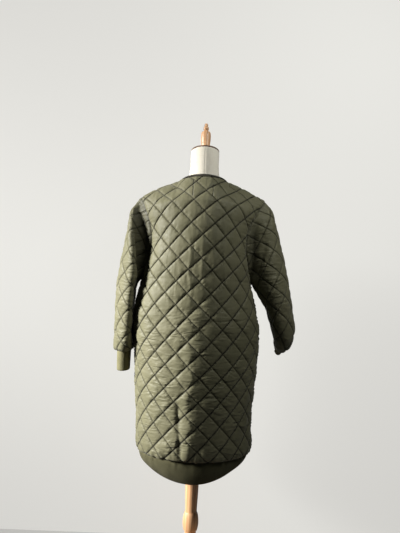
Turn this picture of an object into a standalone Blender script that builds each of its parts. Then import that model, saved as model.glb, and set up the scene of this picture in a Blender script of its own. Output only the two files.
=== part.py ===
"""Quilted coat on a limbless dress form (metres, +Z up, the back faces +Y).

The coat is lofted from section tables: a body of horizontal ovals that the
armholes cut into, two sleeves that fan out of those armholes, and rib bands at
the wrists and the hem. The form is a lofted torso on turned wooden pieces.
"""
import math

import bmesh
import bpy
from mathutils import Vector

# ---------------------------------------------------------------- driving sizes
QUILT_WALL = 0.0040          # quilted cloth, shell to backing
RIB_WALL = 0.0026            # rib knit
SEAM_GAP = 0.0003            # air left between two pieces at a seam
HALF_GAP = SEAM_GAP / 2
EDGE = 0.999                 # a column or row share past this is on the edge itself
SMOOTH_ANGLE = 40            # degrees between faces that still shade as one

SHOULDER_TIP = 0.222         # armhole top, out from the centre line
NECK_HALF_WIDTH = 0.080
NECK_SIDE_Z = 1.3860         # where the shoulder seam meets the neckline
NECK_BACK_RISE = 0.0085      # the neckline climbs this much to the centre back
NECK_FRONT_DROP = 0.080      # and falls this much to the centre front
NECK_BACK_DEPTH = 0.076
NECK_FRONT_DEPTH = 0.092
SHOULDER_SLOPE = 0.33        # fall of the shoulder seam near the neck
SHOULDER_ROUND = 1.0         # and how it steepens outwards
NECK_SHARE = 0.40            # share of a panel's half width that is neckline
NECK_CURVE = 1.5             # how fast the neckline's rise or drop comes in

NECK_PULL_BACK = 0.045       # how the cloth comes in to the neck, at the centre back
NECK_LIFT_BACK = 0.085
NECK_PULL_FRONT = 0.035
NECK_LIFT_FRONT = 0.055
NECK_PULL_SIDE = 0.050
SEAM_PULL_NECK = 0.060       # how it comes over the shoulder seam, by the neck
SEAM_PULL_TIP = 0.100        # and at the tip
SEAM_FADE = 1.5              # how soon along the seam the neck's pull is gone

BINDING_TALL = 0.0075
BINDING_PROUD = 0.0008       # how far the binding stands out of the cloth
BINDING_SEAT = 0.0007        # air under it, over the cloth's facets
BAND_SHARE = 0.055           # share of a front that the closing band covers
BAND_COLUMNS = (-1, -0.5, 0, 0.5, 1)
BAND_WALL = 0.0018
BAND_SEAT = 0.0005           # air under the band, over the cloth's facets
SNAP_RADIUS = 0.0075
SNAP_TALL = 0.0024
SNAP_SEAT = 0.0006           # air under a snap, over the band's facets
SNAP_BEVEL = 0.86            # its face against its foot
SNAP_SIDES = 16
SNAP_COUNT = 7
SNAP_TOP_Z = 1.255           # height of the first snap
SNAP_LOW_Z = 0.505           # and of the last

NECK_STEPS = 5               # columns of a panel from its centre to the shoulder seam
SHOULDER_STEPS = 5           # and from there to its side edge
ROWS_BELOW_ARM = 10
ROWS_BESIDE_ARM = 8          # from the underarm to the yoke
YOKE_ROWS = 4                # from the yoke to the shoulder seam
RING_STEPS = 13              # along a sleeve
RIB_STEPS = 3
CUFF_STEPS = 2

# One row for each level of the coat's body, from the hem seam to the yoke:
# z at the side, rise to the centre back and to the centre front, half widths to
# the wearer's left and right, depth of the back and the front at the centre.
BODY = [
    # z      rise_b  rise_f  left    right   back    front
    (0.430, 0.000, 0.000, 0.1960, 0.1930, 0.1740, 0.1620),
    (0.458, 0.000, 0.000, 0.2050, 0.2030, 0.1850, 0.1720),
    (0.560, 0.000, 0.000, 0.2090, 0.2000, 0.1850, 0.1720),
    (0.660, 0.000, 0.000, 0.2175, 0.2075, 0.1820, 0.1690),
    (0.760, 0.000, 0.000, 0.2225, 0.2145, 0.1780, 0.1660),
    (0.860, 0.004, 0.000, 0.2325, 0.2160, 0.1730, 0.1630),
    (0.945, 0.008, 0.002, 0.2270, 0.1990, 0.1670, 0.1600),
    (1.025, 0.014, 0.002, 0.2080, 0.1790, 0.1620, 0.1560),
    (1.085, 0.016, 0.002, 0.1880, 0.1650, 0.1590, 0.1520),
    (1.150, 0.018, -0.004, 0.1750, 0.1570, 0.1540, 0.1440),
    (1.212, 0.024, -0.012, 0.1790, 0.1620, 0.1460, 0.1320),
    (1.270, 0.034, -0.024, 0.2000, 0.1900, 0.1330, 0.1160),
]
UNDERARM_ROW = 7
TOP_ROW = len(BODY)
ARMHOLE_DEPTH = 0.063        # of the armhole's edge from the side line, at its deepest
ARMHOLE_ROUND = 0.65         # below 1 the armhole fills out at its ends
YOKE_TURN = 34               # degrees by which the rows stop short of a half turn there
YOKE_FADE = 1.4              # how soon above the underarm they reach that
YOKE_STEP = 0.05             # part of a row over which the cloth's rise is measured
SEAM_STEP = 0.01             # turn, in radians, over which the armhole's run is measured

# One row for each ring of a sleeve below the armhole: the outer line's x and z,
# the inner line's x and z, half depth front to back, shift of the ring to the
# back, curl of its ends to the body, lean of the ring's back edge in degrees.
SLEEVE_LEFT = [
    # outer x, z     inner x, z     depth  shift   curl   lean
    (0.2460, 1.293, 0.2140, 1.021, 0.066, 0.000, 0.000, 0),
    (0.2590, 1.235, 0.2230, 1.009, 0.078, 0.002, 0.006, 0),
    (0.2720, 1.160, 0.2320, 0.994, 0.086, 0.004, 0.012, 0),
    (0.2845, 1.088, 0.2390, 0.970, 0.088, 0.004, 0.014, 0),
    (0.2950, 1.012, 0.2410, 0.935, 0.087, 0.002, 0.013, 0),
    (0.2975, 0.940, 0.2400, 0.892, 0.084, 0.000, 0.010, 0),
    (0.2980, 0.872, 0.2385, 0.850, 0.080, -0.002, 0.008, 0),
    (0.2965, 0.818, 0.2340, 0.808, 0.075, -0.004, 0.006, 0),
    (0.2950, 0.784, 0.2310, 0.786, 0.064, -0.005, 0.004, 0),
    (0.2870, 0.769, 0.2370, 0.772, 0.046, -0.006, 0.002, 0),
]
SLEEVE_RIGHT = [
    (0.2440, 1.291, 0.1860, 1.016, 0.064, 0.000, 0.000, 0),
    (0.2620, 1.238, 0.1960, 1.002, 0.074, 0.000, 0.004, 0),
    (0.2810, 1.168, 0.2080, 0.984, 0.080, 0.000, 0.006, 0),
    (0.3010, 1.092, 0.2230, 0.962, 0.083, 0.001, 0.008, -2),
    (0.3190, 1.010, 0.2400, 0.930, 0.083, 0.000, 0.006, -4),
    (0.3340, 0.930, 0.2560, 0.884, 0.080, -0.003, 0.004, -8),
    (0.3440, 0.877, 0.2670, 0.847, 0.074, -0.012, 0.002, -22),
    (0.3410, 0.845, 0.2740, 0.828, 0.065, -0.030, 0.000, -40),
    (0.3330, 0.833, 0.2800, 0.824, 0.054, -0.054, 0.000, -55),
    (0.3220, 0.832, 0.2870, 0.824, 0.042, -0.072, 0.000, -62),
]
CUFF_LENGTH = 0.068
CUFF_TAPER = 0.93            # its open end against its seam
# One row for each ring of the hem rib, from its seam down: size to the wearer's
# left and right and front to back, against the seam, then its drop at the back,
# the sides and the front.
RIB_RINGS = [
    # left   right  depth   back    sides   front
    (1.000, 1.000, 1.000, 0.0000, 0.0000, 0.0000),
    (0.982, 0.970, 0.992, 0.0260, 0.0160, 0.0190),
    (0.945, 0.910, 0.968, 0.0520, 0.0300, 0.0380),
    (0.870, 0.805, 0.925, 0.0760, 0.0410, 0.0560),
]
RIB_FALL = 2.4               # how fast the back's drop fades towards the sides

# Dress form: z, half width, depth of the back, depth of the front, and how
# pointed the section's ends are (1 is an oval, 2 a lens).
FORM = [
    (0.7600, 0.1500, 0.1080, 0.1000, 1.0),
    (0.8200, 0.1620, 0.1180, 0.1060, 1.0),
    (0.8900, 0.1560, 0.1120, 0.1020, 1.0),
    (0.9600, 0.1320, 0.0920, 0.0940, 1.0),
    (1.0100, 0.1220, 0.0840, 0.0920, 1.0),
    (1.0700, 0.1310, 0.0910, 0.1040, 1.0),
    (1.1400, 0.1470, 0.1040, 0.1180, 1.0),
    (1.2000, 0.1560, 0.1060, 0.1080, 1.0),
    (1.2600, 0.1640, 0.1000, 0.0880, 1.1),
    (1.3000, 0.1690, 0.0840, 0.0660, 1.6),
    (1.3250, 0.1700, 0.0700, 0.0550, 2.2),
    (1.3438, 0.1640, 0.0610, 0.0495, 4.4),
    (1.3571, 0.1400, 0.0560, 0.0485, 5.4),
    (1.3709, 0.1080, 0.0530, 0.0480, 4.6),
    (1.3780, 0.0780, 0.0510, 0.0470, 3.4),
    (1.3812, 0.0660, 0.0505, 0.0470, 2.3),
    (1.3880, 0.0580, 0.0500, 0.0480, 1.4),
    (1.4020, 0.0540, 0.0498, 0.0485, 1.0),
    (1.4250, 0.0508, 0.0498, 0.0490, 1.0),
]
NECK_RADIUS = 0.0500
NECK_TUBE_Z = 1.4500         # from here up the neck is round
NECK_TOP_Z = 1.4870          # of the slanted neck top, at its middle
NECK_SLANT = 0.256           # rise to the back for each metre
FORM_SIDES = 28
TRIM_WIDE = 0.0026
TRIM_TALL = 0.0052
TRIM_INSET = 0.0002          # of the trim from the neck's edge
CAP_TALL = 0.0045
CAP_DOME_WIDE = 0.6          # the cap's raised middle against its edge
CAP_DOME_TALL = CAP_TALL * 1.7

POLE_SIDES = 28
# radius, z, down the outer side of each turned piece
FINIAL = [
    (0.0000, 0.1050), (0.0040, 0.1035), (0.0068, 0.0990), (0.0060, 0.0935),
    (0.0086, 0.0900), (0.0098, 0.0845), (0.0088, 0.0795), (0.0066, 0.0760),
    (0.0080, 0.0725), (0.0150, 0.0690), (0.0172, 0.0610), (0.0176, 0.0500),
    (0.0170, 0.0360), (0.0155, 0.0220), (0.0142, 0.0000), (0.0000, 0.0000),
]
POLE = [
    (0.0000, 0.7597), (0.0240, 0.7597), (0.0240, 0.4200), (0.0236, 0.3000),
    (0.0222, 0.2500), (0.0207, 0.2080), (0.0228, 0.2030), (0.0262, 0.1900),
    (0.0280, 0.1720), (0.0272, 0.1560), (0.0244, 0.1420), (0.0205, 0.1340),
    (0.0205, 0.1080), (0.0240, 0.0900), (0.0300, 0.0740), (0.0360, 0.0560),
    (0.0420, 0.0453), (0.0000, 0.0453),
]
BASE = [
    (0.0000, 0.0450), (0.0480, 0.0450), (0.0560, 0.0425), (0.0600, 0.0370),
    (0.0720, 0.0320), (0.1500, 0.0270), (0.1720, 0.0230), (0.1790, 0.0150),
    (0.1780, 0.0040), (0.1740, 0.0000), (0.0000, 0.0000),
]

FINISHES = {
    # base colour, roughness, metallic
    "olive_satin": ((0.115, 0.110, 0.070, 1), 0.42, 0.0),
    "olive_rib": ((0.060, 0.058, 0.032, 1), 0.90, 0.0),
    "dark_binding": ((0.030, 0.031, 0.026, 1), 0.60, 0.0),
    "dull_brass": ((0.300, 0.240, 0.140, 1), 0.40, 0.9),
    "cream_linen": ((0.780, 0.740, 0.640, 1), 0.85, 0.0),
    "brown_trim": ((0.200, 0.110, 0.060, 1), 0.70, 0.0),
    "turned_wood": ((0.560, 0.330, 0.170, 1), 0.45, 0.0),
}


# ---------------------------------------------------------------------- helpers
def clear_scene():
    for item in list(bpy.data.objects):
        bpy.data.objects.remove(item, do_unlink=True)


def make_materials():
    made = {}
    for name, (colour, roughness, metallic) in FINISHES.items():
        material = bpy.data.materials.new(name)
        material.use_nodes = True
        shader = material.node_tree.nodes["Principled BSDF"]
        shader.inputs["Base Color"].default_value = colour
        shader.inputs["Roughness"].default_value = roughness
        shader.inputs["Metallic"].default_value = metallic
        material.diffuse_color = colour
        made[name] = material
    return made


def keep(name, mesh, material, collection):
    """Link a mesh as one named sub-part, with its own creases kept sharp."""
    piece = bpy.data.objects.new(name, mesh)
    mesh.materials.append(material)
    mesh.shade_smooth()
    mesh.set_sharp_from_angle(angle=math.radians(SMOOTH_ANGLE))
    collection.objects.link(piece)
    return piece


def hermite(p0, p1, m0, m1, f):
    """Cubic from p0 to p1 with the tangents m0 and m1."""
    f2, f3 = f * f, f * f * f
    return (p0 * (2 * f3 - 3 * f2 + 1) + m0 * (f3 - 2 * f2 + f)
            + p1 * (3 * f2 - 2 * f3) + m1 * (f3 - f2))


def smooth_rows(row, count, t):
    """Point at the fractional row t of a stack of row points, row(0) to row(count)."""
    k = min(int(t), count - 1)
    p0, p1 = row(k), row(k + 1)
    m0 = (p1 - row(k - 1)) / 2 if k > 0 else p1 - p0
    m1 = (row(k + 2) - p0) / 2 if k + 1 < count else p1 - p0
    return hermite(p0, p1, m0, m1, t - k)


def half_columns():
    """Columns of half a panel, from its centre to its side edge."""
    near = [NECK_SHARE * i / NECK_STEPS for i in range(NECK_STEPS)]
    rest = 1 - NECK_SHARE
    return near + [NECK_SHARE + rest * i / SHOULDER_STEPS for i in range(SHOULDER_STEPS + 1)]


def ease(value):
    value = min(max(value, 0.0), 1.0)
    return value * value * (3 - 2 * value)


def surface_normal(point, a, b, a_range, b_range, step=0.002):
    """Unit normal of point(a, b), from differences that stay inside the ranges."""
    a0, a1 = max(a - step, a_range[0]), min(a + step, a_range[1])
    b0, b1 = max(b - step, b_range[0]), min(b + step, b_range[1])
    along_a = point(a1, b) - point(a0, b)
    along_b = point(a, b1) - point(a, b0)
    return along_a.cross(along_b).normalized()


def wall_mesh(name, outer, inner, closed):
    """Closed wall between two equal grids of points, closed round the columns or not."""
    mesh = bpy.data.meshes.new(name)
    shell = bmesh.new()
    skins = [[[shell.verts.new(p) for p in row] for row in grid] for grid in (outer, inner)]
    rows, columns = len(outer), len(outer[0])
    spans = columns if closed else columns - 1
    for r in range(rows - 1):
        for c in range(spans):
            d = (c + 1) % columns
            for skin, flip in zip(skins, (False, True)):
                quad = [skin[r][c], skin[r][d], skin[r + 1][d], skin[r + 1][c]]
                shell.faces.new(quad[::-1] if flip else quad)
    out, into = skins
    for r in (0, rows - 1):
        for c in range(spans):
            d = (c + 1) % columns
            shell.faces.new([out[r][c], out[r][d], into[r][d], into[r][c]])
    if not closed:
        for c in (0, columns - 1):
            for r in range(rows - 1):
                shell.faces.new([out[r][c], out[r + 1][c], into[r + 1][c], into[r][c]])
    bmesh.ops.recalc_face_normals(shell, faces=shell.faces)
    if shell.calc_volume(signed=True) < 0:
        bmesh.ops.reverse_faces(shell, faces=shell.faces)
    shell.to_mesh(mesh)
    shell.free()
    return mesh


def loft_mesh(name, rings):
    """Closed solid through equal rings, capped flat at both ends."""
    mesh = bpy.data.meshes.new(name)
    solid = bmesh.new()
    made = [[solid.verts.new(p) for p in ring] for ring in rings]
    sides = len(rings[0])
    for low, high in zip(made, made[1:]):
        for c in range(sides):
            d = (c + 1) % sides
            solid.faces.new([low[c], low[d], high[d], high[c]])
    solid.faces.new(made[0])
    solid.faces.new(made[-1])
    bmesh.ops.recalc_face_normals(solid, faces=solid.faces)
    solid.to_mesh(mesh)
    solid.free()
    return mesh


# --------------------------------------------------------------- the coat's body
def shoulder_seam(share):
    """Point on the shoulder seam, share 0 at the neck to 1 at the tip."""
    x = NECK_HALF_WIDTH + (SHOULDER_TIP - NECK_HALF_WIDTH) * share
    run = x - NECK_HALF_WIDTH
    return Vector((x, 0, NECK_SIDE_Z - SHOULDER_SLOPE * run - SHOULDER_ROUND * run * run))


def seam_normal(share):
    """Upward normal of the cloth on the shoulder seam."""
    run = (SHOULDER_TIP - NECK_HALF_WIDTH) * share
    return Vector((SHOULDER_SLOPE + 2 * SHOULDER_ROUND * run, 0, 1)).normalized()


def top_edge(face, c):
    """Upper edge of a panel: shoulder seam, then neckline. face is 1 back, -1 front."""
    side = 1 if c >= 0 else -1
    share = abs(c)
    if share >= NECK_SHARE:
        p = shoulder_seam((share - NECK_SHARE) / (1 - NECK_SHARE))
        return Vector((side * p.x, 0, p.z))
    turn = math.radians(90) * share / NECK_SHARE
    depth, rise = (NECK_BACK_DEPTH, NECK_BACK_RISE)
    if face < 0:
        depth, rise = NECK_FRONT_DEPTH, -NECK_FRONT_DROP
    return Vector((side * NECK_HALF_WIDTH * math.sin(turn), face * depth * math.cos(turn),
                   NECK_SIDE_Z + rise * math.cos(turn) ** NECK_CURVE))


def top_tangent(face, c):
    """Direction and pull of the cloth as it reaches a panel's upper edge."""
    side = 1 if c >= 0 else -1
    inward, upward = (NECK_PULL_BACK, NECK_LIFT_BACK) if face > 0 else (NECK_PULL_FRONT,
                                                                       NECK_LIFT_FRONT)
    if abs(c) <= NECK_SHARE:
        turn = math.radians(90) * abs(c) / NECK_SHARE
        cosine, sine = math.cos(turn), math.sin(turn)
        return Vector((-side * NECK_PULL_SIDE * sine,
                       -face * (inward * cosine + SEAM_PULL_NECK * sine),
                       upward * cosine + SHOULDER_SLOPE * NECK_PULL_SIDE * sine))
    share = (abs(c) - NECK_SHARE) / (1 - NECK_SHARE)
    fade = 1 - ease(share * SEAM_FADE)
    run = (SHOULDER_TIP - NECK_HALF_WIDTH) * share
    slope = SHOULDER_SLOPE + 2 * SHOULDER_ROUND * run
    over = SEAM_PULL_TIP + (SEAM_PULL_NECK - SEAM_PULL_TIP) * fade
    return Vector((-side * NECK_PULL_SIDE * fade, -face * over, slope * NECK_PULL_SIDE * fade))


def table_at(table, t):
    """The table's columns at the fractional row t, on smooth curves."""
    k = min(int(t), len(table) - 2)
    before, after = max(k - 1, 0), min(k + 2, len(table) - 1)
    return [hermite(table[k][i], table[k + 1][i], (table[k + 1][i] - table[before][i]) / 2,
                    (table[after][i] - table[k][i]) / 2, t - k) for i in range(len(table[0]))]


def body_section(face, c, t):
    """Point of the body below the yoke, column -1 at the right seam to 1 at the left."""
    z, rise_back, rise_front, left, right, back, front = table_at(BODY, t)
    beside = max(t - UNDERARM_ROW, 0) / (TOP_ROW - UNDERARM_ROW)
    edge = ARMHOLE_DEPTH * math.sin(math.pi * beside) ** ARMHOLE_ROUND if beside > 0 else 0.0
    turn = math.radians(90 - YOKE_TURN * ease(beside * YOKE_FADE))
    depth, rise = (back, rise_back) if face > 0 else (front, rise_front)
    across = math.sin(c * turn) / math.sin(turn)
    lift = (math.cos(c * turn) - math.cos(turn)) / (1 - math.cos(turn))
    x = (left - right) / 2 + (left + right) / 2 * across
    return Vector((x, face * (edge + (depth - edge) * lift), z + rise * lift))


def body_point(face, c, t):
    """Point of the coat's outer surface: face, column -1..1, row 0..TOP_ROW."""
    last = TOP_ROW - 1
    if t <= last:
        return body_section(face, c, t)
    start = body_section(face, c, last)
    rise = (start - body_section(face, c, last - YOKE_STEP)) / YOKE_STEP
    return hermite(start, top_edge(face, c), rise, top_tangent(face, c), t - last)


def body_normal(face, c, t):
    def point(a, b):
        return body_point(face, a, b)
    return surface_normal(point, c, t, (-1, 1), (0, TOP_ROW)) * -face


def top_normal(face, c):
    """Wall direction along a panel's upper edge, the same for back and front there."""
    if abs(c) > NECK_SHARE * EDGE:
        n = seam_normal((abs(c) - NECK_SHARE) / (1 - NECK_SHARE))
        return Vector((n.x if c > 0 else -n.x, 0, n.z))
    n = body_normal(face, c, TOP_ROW)
    return Vector((0, n.y, n.z)).normalized() if c == 0 else n


def armhole_levels():
    """Rows of the panels' grid from the underarm to the shoulder seam."""
    yoke = TOP_ROW - 1
    span = yoke - UNDERARM_ROW
    low = [UNDERARM_ROW + span * i / ROWS_BESIDE_ARM for i in range(ROWS_BESIDE_ARM)]
    return low + [yoke + i / YOKE_ROWS for i in range(YOKE_ROWS + 1)]


def body_levels():
    """Rows of the panels' grid, from the hem seam up."""
    return [UNDERARM_ROW * i / ROWS_BELOW_ARM for i in range(ROWS_BELOW_ARM)] + armhole_levels()


# ------------------------------------------------------------------- the sleeves
def armhole_point(side, angle):
    """Armhole loop: 0 at the shoulder tip, a half turn at the underarm by the back."""
    turn = (angle / math.pi) % 2
    face = 1 if turn <= 1 else -1
    fall = turn if turn <= 1 else 2 - turn
    t = TOP_ROW - (TOP_ROW - UNDERARM_ROW) * fall
    return body_point(face, side, t)


def sleeve_row(side, table, angle, k):
    """Point of ring k of a sleeve; ring 0 is the armhole."""
    if k == 0:
        return armhole_point(side, angle)
    ox, oz, ix, iz, depth, shift, curl, lean_deg = table[k - 1]
    lean = math.radians(lean_deg)
    middle = Vector(((ox + ix) / 2, shift, (oz + iz) / 2))
    across = Vector(((ox - ix) / 2, 0, (oz - iz) / 2))
    back = Vector((0, math.cos(lean), math.sin(lean)))
    p = (middle + across * math.cos(angle) + back * depth * math.sin(angle)
         - Vector((curl * math.sin(angle) ** 2, 0, 0)))
    return Vector((side * p.x, p.y, p.z))


def sleeve_point(side, table, angle, u):
    """Point of a sleeve's outer surface: angle round it, ring 0..len(table)."""
    return smooth_rows(lambda k: sleeve_row(side, table, angle, k), len(table), u)


def sleeve_normal(side, table, angle, u):
    def point(a, b):
        return sleeve_point(side, table, a, b)
    full = 2 * math.pi
    return surface_normal(point, angle, u, (-full, full), (0, len(table))) * -side


def armhole_seam(side, table, angle):
    """Wall direction and gap direction that a panel and a sleeve share at their seam."""
    turn = (angle / math.pi) % 2
    face = 1 if turn <= 1 else -1
    fall = turn if turn <= 1 else 2 - turn
    panel = body_normal(face, side, TOP_ROW - (TOP_ROW - UNDERARM_ROW) * fall)
    sleeve = sleeve_normal(side, table, angle, YOKE_STEP)
    if fall > EDGE or fall < 1 - EDGE:
        panel, sleeve = (Vector((n.x, 0, n.z)).normalized() for n in (panel, sleeve))
    wall = (panel + sleeve).normalized()
    along = armhole_point(side, angle + SEAM_STEP) - armhole_point(side, angle - SEAM_STEP)
    gap = along.cross(wall).normalized()
    return wall, gap if gap.x * side > 0 else -gap


def sleeve_angles():
    """Angles whose armhole points are the panels' own edge points."""
    down = [math.pi * (TOP_ROW - t) / (TOP_ROW - UNDERARM_ROW) for t in armhole_levels()[::-1]]
    return down[:-1] + [2 * math.pi - angle for angle in down[:0:-1]]


def table_of(side):
    return SLEEVE_LEFT if side > 0 else SLEEVE_RIGHT


# ---------------------------------------------------------------------- building
def panel_wall(face, columns):
    """Outer and inner grids of a body panel at the given columns."""
    outer, inner = [], []
    for t in body_levels():
        out_row, in_row = [], []
        for c in columns:
            p = body_point(face, c, t)
            n = body_normal(face, c, t)
            edge = abs(c) > EDGE
            if edge:
                side = 1 if c > 0 else -1
                if t < UNDERARM_ROW:
                    n = Vector((n.x, 0, n.z)).normalized()
                else:
                    fall = (TOP_ROW - t) / (TOP_ROW - UNDERARM_ROW)
                    angle = math.pi * (fall if face > 0 else 2 - fall)
                    n, gap = armhole_seam(side, table_of(side), angle)
                    p = p - gap * HALF_GAP
                if t <= UNDERARM_ROW:
                    p = p + Vector((0, face * HALF_GAP, 0))
            if t == TOP_ROW and not edge:
                n = top_normal(face, c)
            if t == TOP_ROW and abs(c) > NECK_SHARE * EDGE:
                p = p + Vector((0, face * HALF_GAP, 0))
            if c == 0 and face < 0:
                n = Vector((0, n.y, n.z)).normalized()
            out_row.append(p)
            in_row.append(p - n * QUILT_WALL)
        outer.append(out_row)
        inner.append(in_row)
    return outer, inner


def shift_edge(grids, column, dx):
    for grid in grids:
        for row in grid:
            row[column] = row[column] + Vector((dx, 0, 0))


def make_body(materials, collection):
    half = len(half_columns()) - 1
    columns = [-c for c in half_columns()[:0:-1]] + half_columns()
    outer, inner = panel_wall(1, columns)
    keep("back", wall_mesh("back", outer, inner, False), materials["olive_satin"], collection)
    for name, part, column, dx in (("front_left", columns[half:], 0, HALF_GAP),
                                   ("front_right", columns[:half + 1], -1, -HALF_GAP)):
        grids = panel_wall(-1, part)
        shift_edge(grids, column, dx)
        keep(name, wall_mesh(name, *grids, False), materials["olive_satin"], collection)


def make_sleeves(materials, collection):
    for name, side in (("sleeve_left", 1), ("sleeve_right", -1)):
        table = table_of(side)
        outer, inner = [], []
        for i in range(RING_STEPS + 1):
            u = len(table) * i / RING_STEPS
            out_row, in_row = [], []
            for angle in sleeve_angles():
                p = sleeve_point(side, table, angle, u)
                n = sleeve_normal(side, table, angle, u)
                if i == 0:
                    n, gap = armhole_seam(side, table, angle)
                    p = p + gap * HALF_GAP
                out_row.append(p)
                in_row.append(p - n * QUILT_WALL)
            outer.append(out_row)
            inner.append(in_row)
        mesh = wall_mesh(name, outer, inner, True)
        keep(name, mesh, materials["olive_satin"], collection)


def cuff_rings(side):
    """Outer rings of a cuff, from the sleeve's last ring down the cuff's axis."""
    table = table_of(side)
    end = [sleeve_point(side, table, a, len(table)) for a in sleeve_angles()]
    middle = sum(end, Vector()) / len(end)
    lean = math.radians(table[-1][7])
    axis = Vector((0, math.sin(lean), -math.cos(lean)))
    rings = []
    for i in range(CUFF_STEPS + 1):
        share = i / CUFF_STEPS
        size = 1 + (CUFF_TAPER - 1) * share
        move = axis * (SEAM_GAP + CUFF_LENGTH * share)
        rings.append([middle + (p - middle) * size + move for p in end])
    return rings


def make_cuffs(materials, collection):
    for name, side in (("cuff_left", 1), ("cuff_right", -1)):
        rings = cuff_rings(side)
        inner = []
        for ring in rings:
            centre = sum(ring, Vector()) / len(ring)
            row = []
            for i, p in enumerate(ring):
                along = (ring[(i + 1) % len(ring)] - ring[i - 1]).normalized()
                inward = centre - p
                inward = (inward - along * inward.dot(along)).normalized()
                row.append(p + inward * RIB_WALL)
            inner.append(row)
        keep(name, wall_mesh(name, rings, inner, True), materials["olive_rib"], collection)


def rib_point(face, c, q):
    """Point of the hem rib's outer surface, q 0 at its seam to 1 at its lower edge."""
    place = q * (len(RIB_RINGS) - 1)
    k = min(int(place), len(RIB_RINGS) - 2)
    f = place - k
    left, right, deep, drop_back, drop_side, drop_front = [
        a + (b - a) * f for a, b in zip(RIB_RINGS[k], RIB_RINGS[k + 1])]
    seam = body_section(face, c, 0)
    middle = math.cos(c * math.pi / 2) ** RIB_FALL if abs(c) < 1 else 0.0
    drop = drop_side + ((drop_back if face > 0 else drop_front) - drop_side) * middle
    wide = left if c > 0 else right
    return Vector((seam.x * wide, seam.y * deep, seam.z - drop - SEAM_GAP))


def rib_normal(face, c, q):
    normal = surface_normal(lambda a, b: rib_point(face, a, b), c, q, (-1, 1), (0, 1)) * face
    if abs(c) > EDGE:
        normal = Vector((normal.x, 0, normal.z)).normalized()
    return normal


def rib_columns():
    """Face and column of each rib vertex, from the front edge round the back to it."""
    out = half_columns()
    back = out[::-1]
    return ([(-1, c) for c in out[:-1]] + [(1, c) for c in back[:-1]]
            + [(1, -c) for c in out[:-1]] + [(-1, -c) for c in back])


def make_hem_rib(materials, collection):
    outer, inner = [], []
    for i in range(RIB_STEPS + 1):
        q = i / RIB_STEPS
        out_row, in_row = [], []
        places = rib_columns()
        for j, (face, c) in enumerate(places):
            p = rib_point(face, c, q)
            n = rib_normal(face, c, q)
            if j in (0, len(places) - 1):
                p = p + Vector((HALF_GAP if j == 0 else -HALF_GAP, 0, 0))
                n = Vector((0, n.y, n.z)).normalized()
            out_row.append(p)
            in_row.append(p - n * RIB_WALL)
        outer.append(out_row)
        inner.append(in_row)
    mesh = wall_mesh("hem_rib", outer, inner, False)
    keep("hem_rib", mesh, materials["olive_rib"], collection)


def neckline():
    """Points, wall directions and rises round the neck, from the front edge to it."""
    near = half_columns()[:NECK_STEPS + 1]
    far = near[::-1]
    places = ([(-1, c) for c in near[:-1]] + [(1, c) for c in far[:-1]]
              + [(1, -c) for c in near[:-1]] + [(-1, -c) for c in far])
    points = [top_edge(face, c) for face, c in places]
    line = []
    for i, (face, c) in enumerate(places):
        n = top_normal(face, c)
        along = points[min(i + 1, len(points) - 1)] - points[max(i - 1, 0)]
        if c == 0:
            along = Vector((along.x, 0, 0))
        rise = along.cross(n).normalized()
        inward = rise.dot(Vector((-points[i].x, -points[i].y, NECK_HALF_WIDTH / 2))) > 0
        line.append((points[i], n, rise if inward else -rise))
    return line


def make_binding(materials, collection):
    line = neckline()
    last = len(line) - 1
    outer, inner = [[], []], [[], []]
    for i, (p, n, rise) in enumerate(line):
        edge = Vector((HALF_GAP if i == 0 else -HALF_GAP if i == last else 0, 0, 0))
        foot = p + rise * BINDING_SEAT + edge
        for row, height in enumerate((0.0, BINDING_TALL)):
            outer[row].append(foot + n * BINDING_PROUD + rise * height)
            inner[row].append(foot - n * (QUILT_WALL + BINDING_PROUD) + rise * height)
    mesh = wall_mesh("neck_binding", outer, inner, False)
    keep("neck_binding", mesh, materials["dark_binding"], collection)


def front_line(c):
    """Points and normals up the front at a column, from the rib's edge to the neckline."""
    line = [(rib_point(-1, c, 1 - i / RIB_STEPS), rib_normal(-1, c, 1 - i / RIB_STEPS))
            for i in range(RIB_STEPS)]
    return line + [(body_point(-1, c, t), body_normal(-1, c, t)) for t in body_levels()]


def make_front_band(materials, collection):
    columns = [front_line(BAND_SHARE * share) for share in BAND_COLUMNS]
    outer = [[p + n * (BAND_SEAT + BAND_WALL) for p, n in row] for row in zip(*columns)]
    inner = [[p + n * BAND_SEAT for p, n in row] for row in zip(*columns)]
    mesh = wall_mesh("front_band", outer, inner, False)
    keep("front_band", mesh, materials["olive_satin"], collection)
    for i in range(SNAP_COUNT):
        z = SNAP_TOP_Z + (SNAP_LOW_Z - SNAP_TOP_Z) * i / (SNAP_COUNT - 1)
        foot, normal = band_seat(z)
        make_snap(f"snap_{i + 1}", foot, normal, materials, collection)


def band_seat(z):
    """Point and normal on the band's own facet at a height."""
    line = [(p + n * (BAND_SEAT + BAND_WALL), n) for p, n in front_line(0)]
    for (low, _), (high, _) in zip(line, line[1:]):
        if low.z <= z < high.z:
            p = low.lerp(high, (z - low.z) / (high.z - low.z))
            rise = (high - low).normalized()
            normal = Vector((0, -rise.z, rise.y)).normalized()
            return p + normal * SNAP_SEAT, normal
    raise ValueError("a snap lies off the band")


def make_snap(name, foot, normal, materials, collection):
    """Round cap with a bevelled rim, standing on the band."""
    mesh = bpy.data.meshes.new(name)
    cap = bmesh.new()
    bmesh.ops.create_cone(cap, cap_ends=True, segments=SNAP_SIDES, radius1=SNAP_RADIUS,
                          radius2=SNAP_RADIUS * SNAP_BEVEL, depth=SNAP_TALL)
    cap.to_mesh(mesh)
    cap.free()
    piece = keep(name, mesh, materials["dull_brass"], collection)
    piece.location = foot + normal * SNAP_TALL / 2
    piece.rotation_euler = normal.to_track_quat("Z", "Y").to_euler()


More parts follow.
